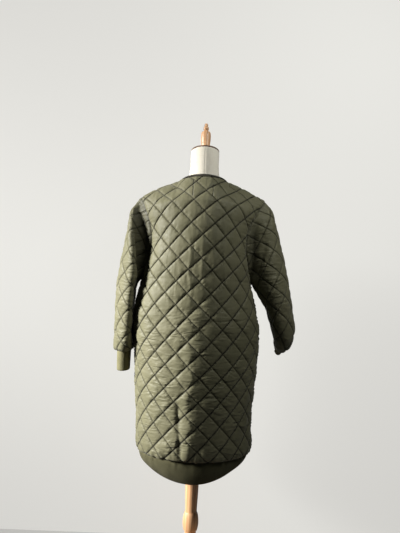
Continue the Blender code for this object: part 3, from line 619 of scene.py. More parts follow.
# ---------- the cloth's lie
class ClothMap:
    """Lengths along the cloth over a surface: b up it, a across it on the lines of equal b."""

    OUTSIDE = 0.6            # rows by which the lines run on past the surface's ends
    MARGIN, LEVELS = 0.02, 301         # of the lines of equal b

    def __init__(self, surface: Surface, middle: float, columns: int = 181, rows: int = 241) -> None:
        """Measure the surface.

        Args:
            surface: The patch of the coat's form.
            middle: Column on which a is 0.
            columns: Columns of the table.
            rows: Rows of the table.
        """
        self.surface = surface
        self.p = np.linspace(surface.p0, surface.p1, columns)
        self.q = np.linspace(surface.q0, surface.q1, rows)
        pp, qq = np.meshgrid(self.p, self.q)
        x = surface.points(pp.ravel(), qq.ravel()).reshape(rows, columns, 3)
        self.b = surface.heights(x, self.q)
        self.level = np.linspace(self.b.min() - self.MARGIN, self.b.max() + self.MARGIN, self.LEVELS)
        rows_at = np.stack([self.rows_at(column) for column in self.b.T], 1)
        self.row = np.clip(rows_at, surface.q0 - self.OUTSIDE, surface.q1 + self.OUTSIDE)
        inside = np.clip(self.row, surface.q0, surface.q1)
        line = surface.points(np.tile(self.p, len(self.level)), inside.ravel()).reshape(*inside.shape, 3)
        step = np.maximum(np.linalg.norm(np.diff(line, axis=1), axis=2), 1e-6)
        a = np.concatenate([np.zeros((len(step), 1)), np.cumsum(step, 1)], 1)
        self.across = a - np.array([np.interp(middle, self.p, row) for row in a])[:, None]
        self.a = np.stack([np.interp(self.b[:, k], self.level, self.across[:, k])
                           for k in range(columns)], 1)

    def rows_at(self, heights: Array) -> Array:
        """Rows at which a column reaches each level, carried on straight past its ends."""
        q, b = (self.q, heights) if heights[-1] > heights[0] else (self.q[::-1], heights[::-1])
        q = np.concatenate([[2 * q[0] - q[4]], q, [2 * q[-1] - q[-5]]])
        b = np.concatenate([[2 * b[0] - b[4]], b, [2 * b[-1] - b[-5]]])
        return np.interp(self.level, b, q, left=q[0] * 9 - q[1] * 8, right=q[-1] * 9 - q[-2] * 8)

    def sample(self, table: Array, p: Array, q: Array) -> Array:
        """Values of a table on the map's own grid, at p and q."""
        u, v = (p - self.p[0]) / (self.p[1] - self.p[0]), (q - self.q[0]) / (self.q[1] - self.q[0])
        i = np.clip(np.floor(u).astype(int), 0, len(self.p) - 2)
        j = np.clip(np.floor(v).astype(int), 0, len(self.q) - 2)
        f, g = u - i, v - j
        return (table[j, i] * (1 - f) * (1 - g) + table[j, i + 1] * f * (1 - g)
                + table[j + 1, i] * (1 - f) * g + table[j + 1, i + 1] * f * g)

    def find(self, a: Array, b: Array) -> tuple[Array, Array]:
        """Parameters of places on the cloth, also a little outside it.

        Args:
            a: Metres across.
            b: Metres up.

        Returns:
            p and q.
        """
        p, q = np.empty_like(a), np.empty_like(a)
        for height in np.unique(b):
            on = b == height
            place = (height - self.level[0]) / (self.level[1] - self.level[0])
            place = np.clip(place, 0, len(self.level) - 1.001)
            k, f = int(place), place - int(place)
            line = self.across[k] * (1 - f) + self.across[k + 1] * f
            rows = self.row[k] * (1 - f) + self.row[k + 1] * f
            wide = self.p[1] - self.p[0]
            ends = line[0] + np.minimum(a[on] - line[0], 0), line[-1] + np.maximum(a[on] - line[-1], 0)
            at = np.interp(a[on], line, self.p)
            at += (ends[0] - line[0]) / (line[1] - line[0]) * wide
            at += (ends[1] - line[-1]) / (line[-1] - line[-2]) * wide
            p[on], q[on] = at, np.interp(at, self.p, rows)
        return p, q

    def reach(self, p: Array, q: Array) -> Array:
        """Distances to the borders p0, p1, q0 and q1, in metres, (n, 4)."""
        s = self.surface
        x = s.points(p, q)
        ends = [s.points(np.full_like(p, end), q) for end in (s.p0, s.p1)]
        ends += [s.points(p, np.full_like(q, end)) for end in (s.q0, s.q1)]
        return np.stack([np.linalg.norm(x - end, axis=1) for end in ends], 1)


@dataclass(frozen=True)
class Fold:
    """A soft ridge or trough between two places of a surface.

    Attributes:
        start, end: Their p and q.
        width: Half width in metres.
        height: Height in metres, below 0 for a trough.
        sway: How far it wanders from side to side, in p.
    """

    start: Pair
    end: Pair
    width: float
    height: float
    sway: float = 0.0

    STEPS = 16               # of the line that the fold follows

    def lift(self, surface: Surface, x: Array) -> Array:
        """Its height at each point.

        Args:
            surface: The patch that it lies on.
            x: Points of the patch.

        Returns:
            Metres above the outer form, fading to each end of the fold.
        """
        share = np.linspace(0, 1, self.STEPS + 1)
        sway = self.sway * np.sin(13.0 * share + 60.0 * self.width)
        line = surface.points(self.start[0] + (self.end[0] - self.start[0]) * share + sway,
                              self.start[1] + (self.end[1] - self.start[1]) * share)
        best, place = np.full(len(x), 1e9), np.zeros(len(x))
        for k in range(len(line) - 1):
            run = line[k + 1] - line[k]
            f = np.clip(((x - line[k]) @ run) / (run @ run), 0, 1)
            away = np.linalg.norm(x - line[k] - f[:, None] * run, axis=1)
            nearer = away < best
            best, place = np.where(nearer, away, best), np.where(nearer, (k + f) / self.STEPS, place)
        taper = np.sin(math.pi * (0.12 + 0.76 * place)) ** 0.7
        return self.height * np.exp(-(best / self.width) ** 2) * taper


@dataclass(frozen=True)
class Gather:
    """Small folds that run away from a border where the cloth is drawn in.

    Attributes:
        border: Which border: 0 to 3 for p0, p1, q0 and q1.
        length: Spacing of the folds in metres.
        height: Their height.
        fade: Distance from the border over which they fade.
        seed: Their pattern.
        puff: Height of the roll that the cloth makes beside the border.
    """

    border: int
    length: float
    height: float
    fade: float
    seed: float
    puff: float = 0.0

    CALM = 0.006             # of cloth at the border that stays flat

    def lift(self, a: Array, b: Array, reach: Array) -> Array:
        """Its height at each place of the cloth.

        Args:
            a: Metres across.
            b: Metres up.
            reach: Distances to the four borders.

        Returns:
            Metres above the outer form.
        """
        away = reach[:, self.border]
        run = a if self.border > 1 else b
        wave = ripple(run, self.length, self.seed) * ease(away / self.CALM) * np.exp(-away / self.fade)
        roll = ease(away / (0.4 * self.fade)) * np.exp(-(away / (1.6 * self.fade)) ** 2)
        return self.height * wave + self.puff * roll


@dataclass
class Cloth:
    """One cut panel of the coat as it lies.

    Attributes:
        surface: Its patch of the coat's form.
        middle: Column from which its width is measured.
        folds: Its main folds.
        gathers: The small folds at its borders.
        map: Lengths along it.
    """

    surface: Surface
    middle: float
    folds: Sequence[Fold] = ()
    gathers: Sequence[Gather] = ()
    map: ClothMap = field(init=False)

    SEAM_CALM = 0.02         # beside a seam, over which a fold fades to nothing

    def __post_init__(self) -> None:
        """Measure the surface."""
        self.map = ClothMap(self.surface, self.middle)

    def lift(self, p: Array, q: Array, x: Array, reach: Array) -> Array:
        """How far the folds and gathers raise the cloth.

        Args:
            p: Parameters across.
            q: Parameters along.
            x: The surface's points there.
            reach: Distances to the four borders.

        Returns:
            Metres, fading to 0 at the seams.
        """
        a, b = self.map.sample(self.map.a, p, q), self.map.sample(self.map.b, p, q)
        high = sum((f.lift(self.surface, x) for f in self.folds), np.zeros(len(p)))
        high = high * ease(reach.min(1) / self.SEAM_CALM)
        return high + sum((g.lift(a, b, reach) for g in self.gathers), np.zeros(len(p)))

    def hollow(self, p: Array, q: Array) -> Array:
        """How deep the cloth lies in its troughs."""
        x = self.surface.points(p, q)
        return sum((np.maximum(-f.lift(self.surface, x), 0) for f in self.folds), np.zeros(len(p)))

    def place(self, p: Array, q: Array, depth: Array | float) -> tuple[Array, Array, Array]:
        """Points of a layer of the cloth.

        Args:
            p: Parameters across.
            q: Parameters along.
            depth: Depth of the layer under the outer form.

        Returns:
            The points, the wall directions and the distances to the borders.
        """
        reach = np.maximum(self.map.reach(p, q), 0)
        x, walls = self.surface.points(p, q), self.surface.walls(p, q, reach)
        high = self.lift(p, q, x, reach) - depth
        return x + walls * high[:, None], walls, reach


@dataclass(frozen=True)
class Lattice:
    """Diamond quilting.

    Attributes:
        a, b: Where a crossing lies on the cloth, in metres.
        width, height: Size of a diamond.
    """

    a: float
    b: float
    width: float = 0.078
    height: float = 0.0799


@dataclass
class QuiltPanel:
    """A quilted panel: its shell on a grid that runs with the quilting lines.

    Attributes:
        name: The piece's name.
        node: CAD node that it stands for.
        cloth: The panel as it lies.
        lattice: Its quilting.
        steps: Mesh steps along a diamond's side.
        flat: Cut width and length in metres.
        cut: Flat area of the cut in square metres.
        held_under: Columns |p| under which another piece holds the cloth down.
        weld: Length under which an edge is closed up.
        rest, walls: The shell's points before it swells, and its directions outwards.
        held, reach: Whether each point is held, and its distance to a border.
        obj: The piece.
    """

    name: str
    node: str
    cloth: Cloth
    lattice: Lattice
    steps: int
    flat: Pair
    cut: float
    held_under: float = 0.0
    weld: float = 0.0007
    rest: Array = field(init=False, default=None)
    walls: Array = field(init=False, default=None)
    held: Array = field(init=False, default=None)
    reach: Array = field(init=False, default=None)
    obj: Piece = field(init=False, default=None)

    MARGIN = 0.01            # by which the quilting grid is larger than the panel

    def build(self, material: Material) -> Piece:
        """Make the shell, still flat between its quilting lines.

        Args:
            material: The shell's finish.

        Returns:
            The piece, with its attributes for the shader.
        """
        p, q, i, j, faces, border = self.grid()
        used = np.unique(np.concatenate([np.array(face) for face in faces]))
        again = renumber(len(p), used)
        quads = [tuple(again[list(face)].tolist()) for face in faces]
        p, q, i, j, border = p[used], q[used], i[used], j[used], again[border]
        border = border[border >= 0]
        self.rest, self.walls, reach = self.cloth.place(p, q, STITCH_DEPTH)
        self.reach = reach.min(1)
        self.held = (i % self.steps == 0) | (j % self.steps == 0) | (np.abs(p) < self.held_under)
        self.held[border] = True
        self.obj = make_object(self.name, self.rest, quads, material)
        face_outwards(self.obj, self.walls)
        # The troughs' depth in centimetres goes to the shader, which paints shade in them.
        centimetres = 100 * self.cloth.hollow(p, q)
        paint(self.obj, "quilt", np.stack([i / self.steps, j / self.steps, centimetres], 1))
        lie = self.cloth.map
        paint(self.obj, "cloth", np.stack([lie.sample(lie.a, p, q), lie.sample(lie.b, p, q), self.reach], 1))
        return self.obj

    def grid(self) -> tuple[Array, Array, Array, Array, list[tuple[int, ...]], Array]:
        """Lay the grid over the panel and fit its rim to the outline.

        Returns:
            p, q and the two line numbers of each vertex, the faces, the rim's vertices.
        """
        lie, n, m = self.cloth.map, self.steps, self.lattice
        s = lie.surface
        low, high = (lie.a.min(), lie.b.min()), (lie.a.max(), lie.b.max())
        corners = [((a - m.a) / m.width, (b - m.b) / m.height)
                   for a in (low[0], high[0]) for b in (low[1], high[1])]
        sums, gaps = [u + v for u, v in corners], [u - v for u, v in corners]
        i, j = np.meshgrid(np.arange(math.floor(min(sums) * n) - 1, math.ceil(max(sums) * n) + 2),
                           np.arange(math.floor(min(gaps) * n) - 1, math.ceil(max(gaps) * n) + 2),
                           indexing="ij")
        a = m.a + m.width * (i + j) / (2 * n)
        b = m.b + m.height * (i - j) / (2 * n)
        more = self.MARGIN
        near = (a > low[0] - more) & (a < high[0] + more) & (b > low[1] - more) & (b < high[1] + more)
        number = np.full(i.shape, -1)
        number[near] = np.arange(near.sum())
        p, q = lie.find(a[near], np.round(b[near], 9))
        quads = np.stack([number[:-1, :-1], number[1:, :-1], number[1:, 1:], number[:-1, 1:]], -1)
        quads = quads.reshape(-1, 4)
        quads = quads[(quads >= 0).all(1)]
        at_p, at_q = p[quads].mean(1), q[quads].mean(1)
        quads = quads[(at_p > s.p0) & (at_p < s.p1) & (at_q > s.q0) & (at_q < s.q1)]
        used = np.unique(quads)
        quads = renumber(len(p), used)[quads]
        p, q, i, j = p[used], q[used], i[near][used], j[near][used]
        edges = np.sort(np.concatenate([quads[:, [k, (k + 1) % 4]] for k in range(4)]), 1)
        pairs, uses = np.unique(edges, axis=0, return_counts=True)
        border = np.unique(pairs[uses == 1])
        p, q = np.clip(p, s.p0, s.p1), np.clip(q, s.q0, s.q1)
        side = lie.reach(p[border], q[border]).argmin(1)
        p[border] = np.where(side == 0, s.p0, np.where(side == 1, s.p1, p[border]))
        q[border] = np.where(side == 2, s.q0, np.where(side == 3, s.q1, q[border]))
        x = s.points(p, q)
        for k in range(4):
            pair = quads[:, [k, (k + 1) % 4]]
            short = np.linalg.norm(x[pair[:, 0]] - x[pair[:, 1]], axis=1) < self.weld
            same = np.arange(len(p))
            same[pair[short].max(1)] = pair[short].min(1)
            quads = same[same[quads]]
        faces = [tuple(dict.fromkeys(face)) for face in quads.tolist()]
        return p, q, i, j, [face for face in faces if len(face) > 2], border


@dataclass(frozen=True)
class Filling:
    """How the wadding swells the cloth between its quilting lines.

    Attributes:
        pressure: Of the wadding on the cloth.
        slack: Share by which the cloth is cut larger than its shell.
        mass, stiffness, shear, bending: The cloth's own.
        quality, frames: Steps for each frame, and frames.
        least, most: Limits of a puff's height.
        level, firm: Height of a level puff, and how far each one is drawn to it.
        round, edge: How full a level puff is, and the width over which it starts at a seam.
        jitter, seed: Unevenness of the cloth at the start, and of its random draws.
    """

    pressure: float = 12.0
    slack: float = 0.045
    mass: float = 0.0005
    stiffness: float = 8
    shear: float = 4
    bending: float = 0.0005
    quality: int = 5
    frames: int = 14
    least: float = -0.0008
    most: float = 0.0085
    level: float = 0.0058
    firm: float = 0.62
    round: float = 9
    edge: float = 0.010
    jitter: float = 0.0004
    seed: int = 3

    def swell(self, panels: Sequence[QuiltPanel]) -> None:
        """Puff all the panels up in one cloth simulation and keep the result.

        Args:
            panels: Built panels; their meshes are changed.
        """
        random = np.random.default_rng(self.seed)
        for panel in panels:
            self.pin(panel, random)
        scene = bpy.context.scene
        for number in range(1, self.frames + 1):
            scene.frame_set(number)
        graph = bpy.context.evaluated_depsgraph_get()
        swollen = []
        for panel in panels:
            mesh = panel.obj.evaluated_get(graph).data
            points = np.empty(len(mesh.vertices) * 3, dtype=np.float32)
            mesh.vertices.foreach_get("co", points)
            swollen.append(points.reshape(-1, 3).astype(float))
        scene.frame_set(1)
        for panel, points in zip(panels, swollen):
            panel.obj.modifiers.clear()
            self.settle(panel, points - panel.rest)

    def pin(self, panel: QuiltPanel, random: np.random.Generator) -> None:
        """Hold a panel's seams and quilting lines and give it its cloth settings."""
        free = np.nonzero(~panel.held)[0]
        start = panel.rest.copy()
        start[free] += panel.walls[free] * random.uniform(0, self.jitter, len(free))[:, None]
        panel.obj.data.vertices.foreach_set("co", start.astype(np.float32).ravel())
        group = panel.obj.vertex_groups.new(name="seams")
        group.add(np.nonzero(panel.held)[0].tolist(), 1.0, "REPLACE")
        cloth = panel.obj.modifiers.new("wadding", "CLOTH")
        cloth.point_cache.frame_start, cloth.point_cache.frame_end = 1, self.frames
        cloth.collision_settings.use_collision = False
        cloth.collision_settings.use_self_collision = False
        settings = cloth.settings
        settings.quality = self.quality
        settings.mass = self.mass
        settings.tension_stiffness = settings.compression_stiffness = self.stiffness
        settings.shear_stiffness = self.shear
        settings.bending_stiffness = self.bending
        settings.use_pressure = True
        settings.uniform_pressure_force = self.pressure
        settings.shrink_min = -self.slack
        settings.vertex_group_mass = "seams"
        settings.pin_stiffness = 1
        settings.effector_weights.gravity = 0

    def plain(self, panel: QuiltPanel) -> Array:
        """Moves to the level puffs that the wadding alone would give, (n, 3)."""
        marks = np.empty(len(panel.rest) * 3, dtype=np.float32)
        panel.obj.data.attributes["quilt"].data.foreach_get("vector", marks)
        u, v = (marks.reshape(-1, 3)[:, k] % 1 for k in (0, 1))
        high = self.level * np.tanh(self.round * u * (1 - u)) * np.tanh(self.round * v * (1 - v))
        edge = ease(panel.reach / self.edge)
        return panel.walls * np.where(panel.held, 0, high * edge)[:, None]

    def settle(self, panel: QuiltPanel, moves: Array) -> None:
        """Store the swollen shape, its height drawn to the level puffs and limited.

        Args:
            panel: The panel.
            moves: How far each point has moved, (n, 3).
        """
        high = (moves * panel.walls).sum(1)
        even = (self.plain(panel) * panel.walls).sum(1)
        calm = np.clip(high * (1 - self.firm) + even * self.firm, self.least, self.most)
        points = panel.rest + moves + panel.walls * (calm - high)[:, None]
        panel.obj.data.vertices.foreach_set("co", points.astype(np.float32).ravel())
        panel.obj.data.update()
        panel.obj.vertex_groups.clear()
        log.info("%s: %d vertices, puffs up to %.1f mm", panel.name, len(points), 1000 * calm.max())


@dataclass
class Lining:
    """Plain lining of the whole coat, inside the quilted shell.

    Attributes:
        spacing: Of its mesh.
        depth: Under the outer form.
        rim: Depth at its borders.
        slope: Distance from a border over which it reaches its full depth.
    """

    spacing: float = 0.010
    depth: float = QUILT_WALL
    rim: float = STITCH_DEPTH + 0.0004
    slope: float = 0.012

    def build(self, name: str, cloths: Sequence[Cloth], material: Material) -> Piece:
        """Make the lining.

        Args:
            name: The piece's name.
            cloths: The panels it lines.
            material: Its finish.

        Returns:
            The piece.
        """
        points, marks, faces, start = [], [], [], 0
        for cloth in cloths:
            s, lie = cloth.surface, cloth.map
            columns = int(np.ptp(lie.a, axis=1).mean() / self.spacing) + 2
            rows = int(np.ptp(lie.b, axis=0).mean() / self.spacing) + 2
            p, q = np.meshgrid(np.linspace(s.p0, s.p1, columns), np.linspace(s.q0, s.q1, rows))
            p, q = p.ravel(), q.ravel()
            reach = lie.reach(p, q).min(1)
            depth = self.rim + (self.depth - self.rim) * ease(reach / self.slope)
            points.append(cloth.place(p, q, depth)[0])
            marks.append(np.stack([lie.sample(lie.a, p, q), lie.sample(lie.b, p, q), reach], 1))
            faces.append(grid_faces(rows, columns, start=start))
            start += rows * columns
        obj = make_object(name, np.concatenate(points), np.concatenate(faces), material)
        paint(obj, "cloth", np.concatenate(marks))
        return obj


# ---------- ribs and edges
def hem_rib_points(u: Array, q: Array) -> Array:
    """Outer form of the hem rib.

    Args:
        u: Place along it, from 0 at the front edge round the back to 4.
        q: Share of the way down it.

    Returns:
        The points, (n, 3).
    """
    face = np.where((u >= 1) & (u <= 3), 1, -1)
    c = np.where(u < 1, u, np.where(u <= 3, 2 - u, u - 4))
    left, right, deep, back, side, front = table_at(RIB_RINGS, q * (len(RIB_RINGS) - 1)).T
    seam = body_section(face, c, np.zeros_like(c))
    middle = np.maximum(np.cos(c * math.pi / 2), 0) ** RIB_FALL
    drop = side + (np.where(face > 0, back, front) - side) * middle
    return np.stack([seam[:, 0] * np.where(c > 0, left, right), seam[:, 1] * deep,
                     seam[:, 2] - drop - SEAM_GAP], 1)


def sleeve_angles() -> Array:
    """Angles at which the armhole's own levels lie."""
    span = TOP_ROW - 1 - UNDERARM_ROW
    levels = [UNDERARM_ROW + span * i / ROWS_BESIDE_ARM for i in range(ROWS_BESIDE_ARM)]
    levels += [TOP_ROW - 1 + i / YOKE_ROWS for i in range(YOKE_ROWS + 1)]
    down = [math.pi * (TOP_ROW - t) / (TOP_ROW - UNDERARM_ROW) for t in levels[::-1]]
    return np.array(down[:-1] + [2 * math.pi - angle for angle in down[:0:-1]])


def cuff_form(side: int) -> Callable[[Array, Array], Array]:
    """Outer form of a cuff.

    Args:
        side: 1 for the wearer's left, -1 for the right.

    Returns:
        A function of u, 0 to 1 round the cuff, and q, the share of the way down it.
    """
    sleeve = SleeveSurface(side)
    angles = sleeve_angles()
    middle = sleeve.points(angles, np.full_like(angles, sleeve.q1)).mean(0)
    lean = math.radians(sleeve.table[-1][SleeveSurface.LEAN])
    axis = np.array([0, math.sin(lean), -math.cos(lean)])

    def points(u: Array, q: Array) -> Array:
        """Points of the cuff at u and q."""
        end = sleeve.points(2 * math.pi * u * -side, np.full_like(u, sleeve.q1))
        size = 1 + (CUFF_TAPER - 1) * q
        return middle + (end - middle) * size[:, None] + axis * (SEAM_GAP + CUFF_LENGTH * q)[:, None]

    return points


@dataclass
class RibBand:
    """Folded band of 1x1 rib knit.

    Attributes:
        name: The piece's name.
        node: CAD node that it stands for.
        form: Its outer form, u along it and q from its seam to its fold.
        span: Range of u.
        closed: Whether it runs all the way round.
        outward: A centre line's x and y to tell its outside, from which it faces away.
        flat: Cut width and length in metres.
        pitch: Spacing of the ribs.
        high: Height of a rib.
        rows: Number of rows of points down its outside.
        draw: How far the seam draws it in.
        tuck: How far it reaches up behind the seam.
    """

    name: str
    node: str
    form: Callable[[Array, Array], Array]
    span: float
    closed: bool
    outward: Pair
    flat: Pair
    pitch: float = 0.0037
    high: float = 0.0010
    rows: int = 16
    draw: float = 0.0
    tuck: float = 0.006

    PROFILE = (0.0, 0.55, 0.93, 1.0, 0.93, 0.55)
    SAMPLES = 721            # along the form, to space the ribs evenly
    FOLD, FOLD_ROWS = 0.94, (0.985, 1.0)         # where the fold begins, and its rows
    INSIDE_ROWS = (0.985, 0.94, 0.6, 0.3, 0.0)
    SKIN, BEHIND = 0.0003, 0.0012      # least depth outside, and depth of the tucked edge

    def build(self, material: Material) -> Piece:
        """Make the band: ribbed outside, a round fold and a plain inside.

        Args:
            material: The band's finish.

        Returns:
            The piece.
        """
        fine = np.linspace(0, self.span, self.SAMPLES)
        length = run_along(self.form(fine, np.full_like(fine, 0.5)))
        ribs = int(length[-1] / self.pitch)
        count = ribs * len(self.PROFILE)
        run = np.arange(count + (0 if self.closed else 1)) / count * length[-1]
        u = np.interp(run, length, fine)
        high = np.array([self.PROFILE[k % len(self.PROFILE)] for k in range(len(u))])
        uneven = 0.8 + 0.2 * ripple(run, 0.05, 1.3)
        seam = np.zeros_like(u)
        edge = self.form(u, seam)
        tucked = edge + self.tuck * unit(edge - self.form(u, seam + 0.1))
        tucked -= self.facing(u, seam) * (STITCH_DEPTH + self.BEHIND)
        rows, marks = [tucked], [np.stack([run, seam, seam], 1)]
        down = np.concatenate([np.linspace(0, 0.955, self.rows), self.FOLD_ROWS])
        for share in down:
            q = np.full_like(u, share)
            fold = max(0.0, (share - self.FOLD) / (1 - self.FOLD))
            depth = self.SKIN + self.high * (1 - high) * uneven + RIB_WALL / 2 * fold ** 2
            wave = self.draw * ripple(run, 0.031, 0.4) * math.exp(-share / 0.16)
            depth = depth - wave + self.drawn(share)
            rows.append(self.form(u, q) - self.facing(u, q) * depth[:, None])
            marks.append(np.stack([run, q * self.flat[1] / 2, high], 1))
        for share in self.INSIDE_ROWS:
            q = np.full_like(u, share)
            rows.append(self.form(u, q) - self.facing(u, q) * (RIB_WALL + self.drawn(share)))
            marks.append(np.stack([run, q * self.flat[1] / 2, high * 0], 1))
        rows.append(tucked)
        marks.append(marks[0])
        faces = grid_faces(len(rows), len(u), self.closed)
        obj = make_object(self.name, np.concatenate(rows), faces, material)
        normals = [self.facing(u, np.full_like(u, share)) for share in (0, *down)]
        normals += [-normals[0]] * (len(rows) - len(normals))
        face_outwards(obj, np.concatenate(normals))
        paint(obj, "knit", np.concatenate(marks))
        carry(obj, "olive_rib", self.node)
        return obj

    def drawn(self, share: float) -> float:
        """How far the seam draws the band in at a share of the way down."""
        return self.draw * math.exp(-share / 0.08)

    def facing(self, u: Array, q: Array) -> Array:
        """Outward unit normals of the form."""
        step = 0.002 * self.span
        low, high = u - step, u + step
        if not self.closed:
            low, high = np.maximum(low, 0), np.minimum(high, self.span)
        across = self.form(high, q) - self.form(low, q)
        down = self.form(u, np.minimum(q + 0.02, 1)) - self.form(u, np.maximum(q - 0.02, 0))
        n = unit(np.cross(across, down))
        out = self.form(u, q) - (*self.outward, 0)
        return n * np.sign((n[:, :2] * out[:, :2]).sum(1))[:, None]


@dataclass
class NeckTape:
    """Woven tape folded over the raw edge of the neckline.

    Attributes:
        seat, tall: Gap between the neckline and the tape, and the tape's height.
        proud: How far it stands out of the coat on both sides.
        stations: Points along a quarter of the neckline.
        pucker, shoulder: Height of its waves; share of a quarter over which it turns level.
    """

    seat: float = 0.0007
    tall: float = 0.0075
    proud: float = 0.0008
    stations: int = 60
    pucker: float = 0.00018
    shoulder: float = 0.12

    CORNER = ((0.0, 0.0026), (0.0006, 0.0010), (0.0018, 0.0002))     # in from a side, down from the top
    LAP, RISE = 0.0030, 0.0008         # of the outer side under the neckline, and of its first bend

    def places(self) -> tuple[Array, Array]:
        """Face and column along the neckline, from the front edge round to it."""
        c = NECK_SHARE * np.linspace(0, 1, self.stations)
        columns = np.concatenate([c[:-1], c[:0:-1], -c[:-1], -c[::-1]])
        faces = np.concatenate([-np.ones(len(c) - 1), np.ones(2 * len(c) - 2), -np.ones(len(c))])
        return faces, columns

    def build(self, material: Material) -> Piece:
        """Make the tape.

        Args:
            material: Its finish.

        Returns:
            The piece.
        """
        faces, c = self.places()
        x = top_edge(faces, c)
        n = np.zeros_like(x)
        for face in Face:
            on = faces == face.value
            surface = BodySurface(face)
            n[on] = surface.normals(c[on], np.full(on.sum(), float(TOP_ROW)))
        near = np.abs(np.abs(c) - NECK_SHARE) / NECK_SHARE
        seam = unit(np.stack([np.sign(c) * SHOULDER_SLOPE, 0 * c, 1 + 0 * c], 1))
        share = ease(near / self.shoulder)[:, None]
        n = unit(n * share + seam * (1 - share))
        n[np.abs(c) < 1e-6, 0] = 0
        n = unit(n)
        along = np.gradient(x, axis=0)
        along[[0, -1]] *= (1, 0, 0)
        rise = unit(np.cross(along, n))
        centre = np.stack([-x[:, 0], -x[:, 1], np.full(len(x), NECK_HALF_WIDTH / 2)], 1)
        rise *= np.sign((rise * centre).sum(1))[:, None]
        run = run_along(x)
        wave = self.pucker * ripple(run, 0.011, 0.7)
        thick, top = QUILT_WALL + 2 * self.proud, self.seat + self.tall
        outer, inner = self.proud, self.proud - thick
        profile = [(outer - 0.0004, self.seat - self.LAP), (outer, self.seat + self.RISE)]
        profile += [(outer - side, top - low) for side, low in self.CORNER]
        profile += [(outer - thick / 2, top)]
        profile += [(inner + side, top - low) for side, low in reversed(self.CORNER)]
        profile += [(inner, self.seat + self.RISE), (inner + 0.0005, self.seat)]
        rows = [x + n * (out + wave * (out > 0))[:, None] + rise * up for out, up in profile]
        faces_made = grid_faces(len(rows), len(x))
        obj = make_object("neck_tape", np.concatenate(rows), faces_made, material)
        face_outwards(obj, np.concatenate([n * (1 if out > -0.002 else -1) for out, _ in profile]))
        paint(obj, "knit", np.concatenate([np.stack([run, np.full_like(run, up), 0 * run], 1)
                                           for _, up in profile]))
        carry(obj, "dark_binding", "neck_binding")
        return obj


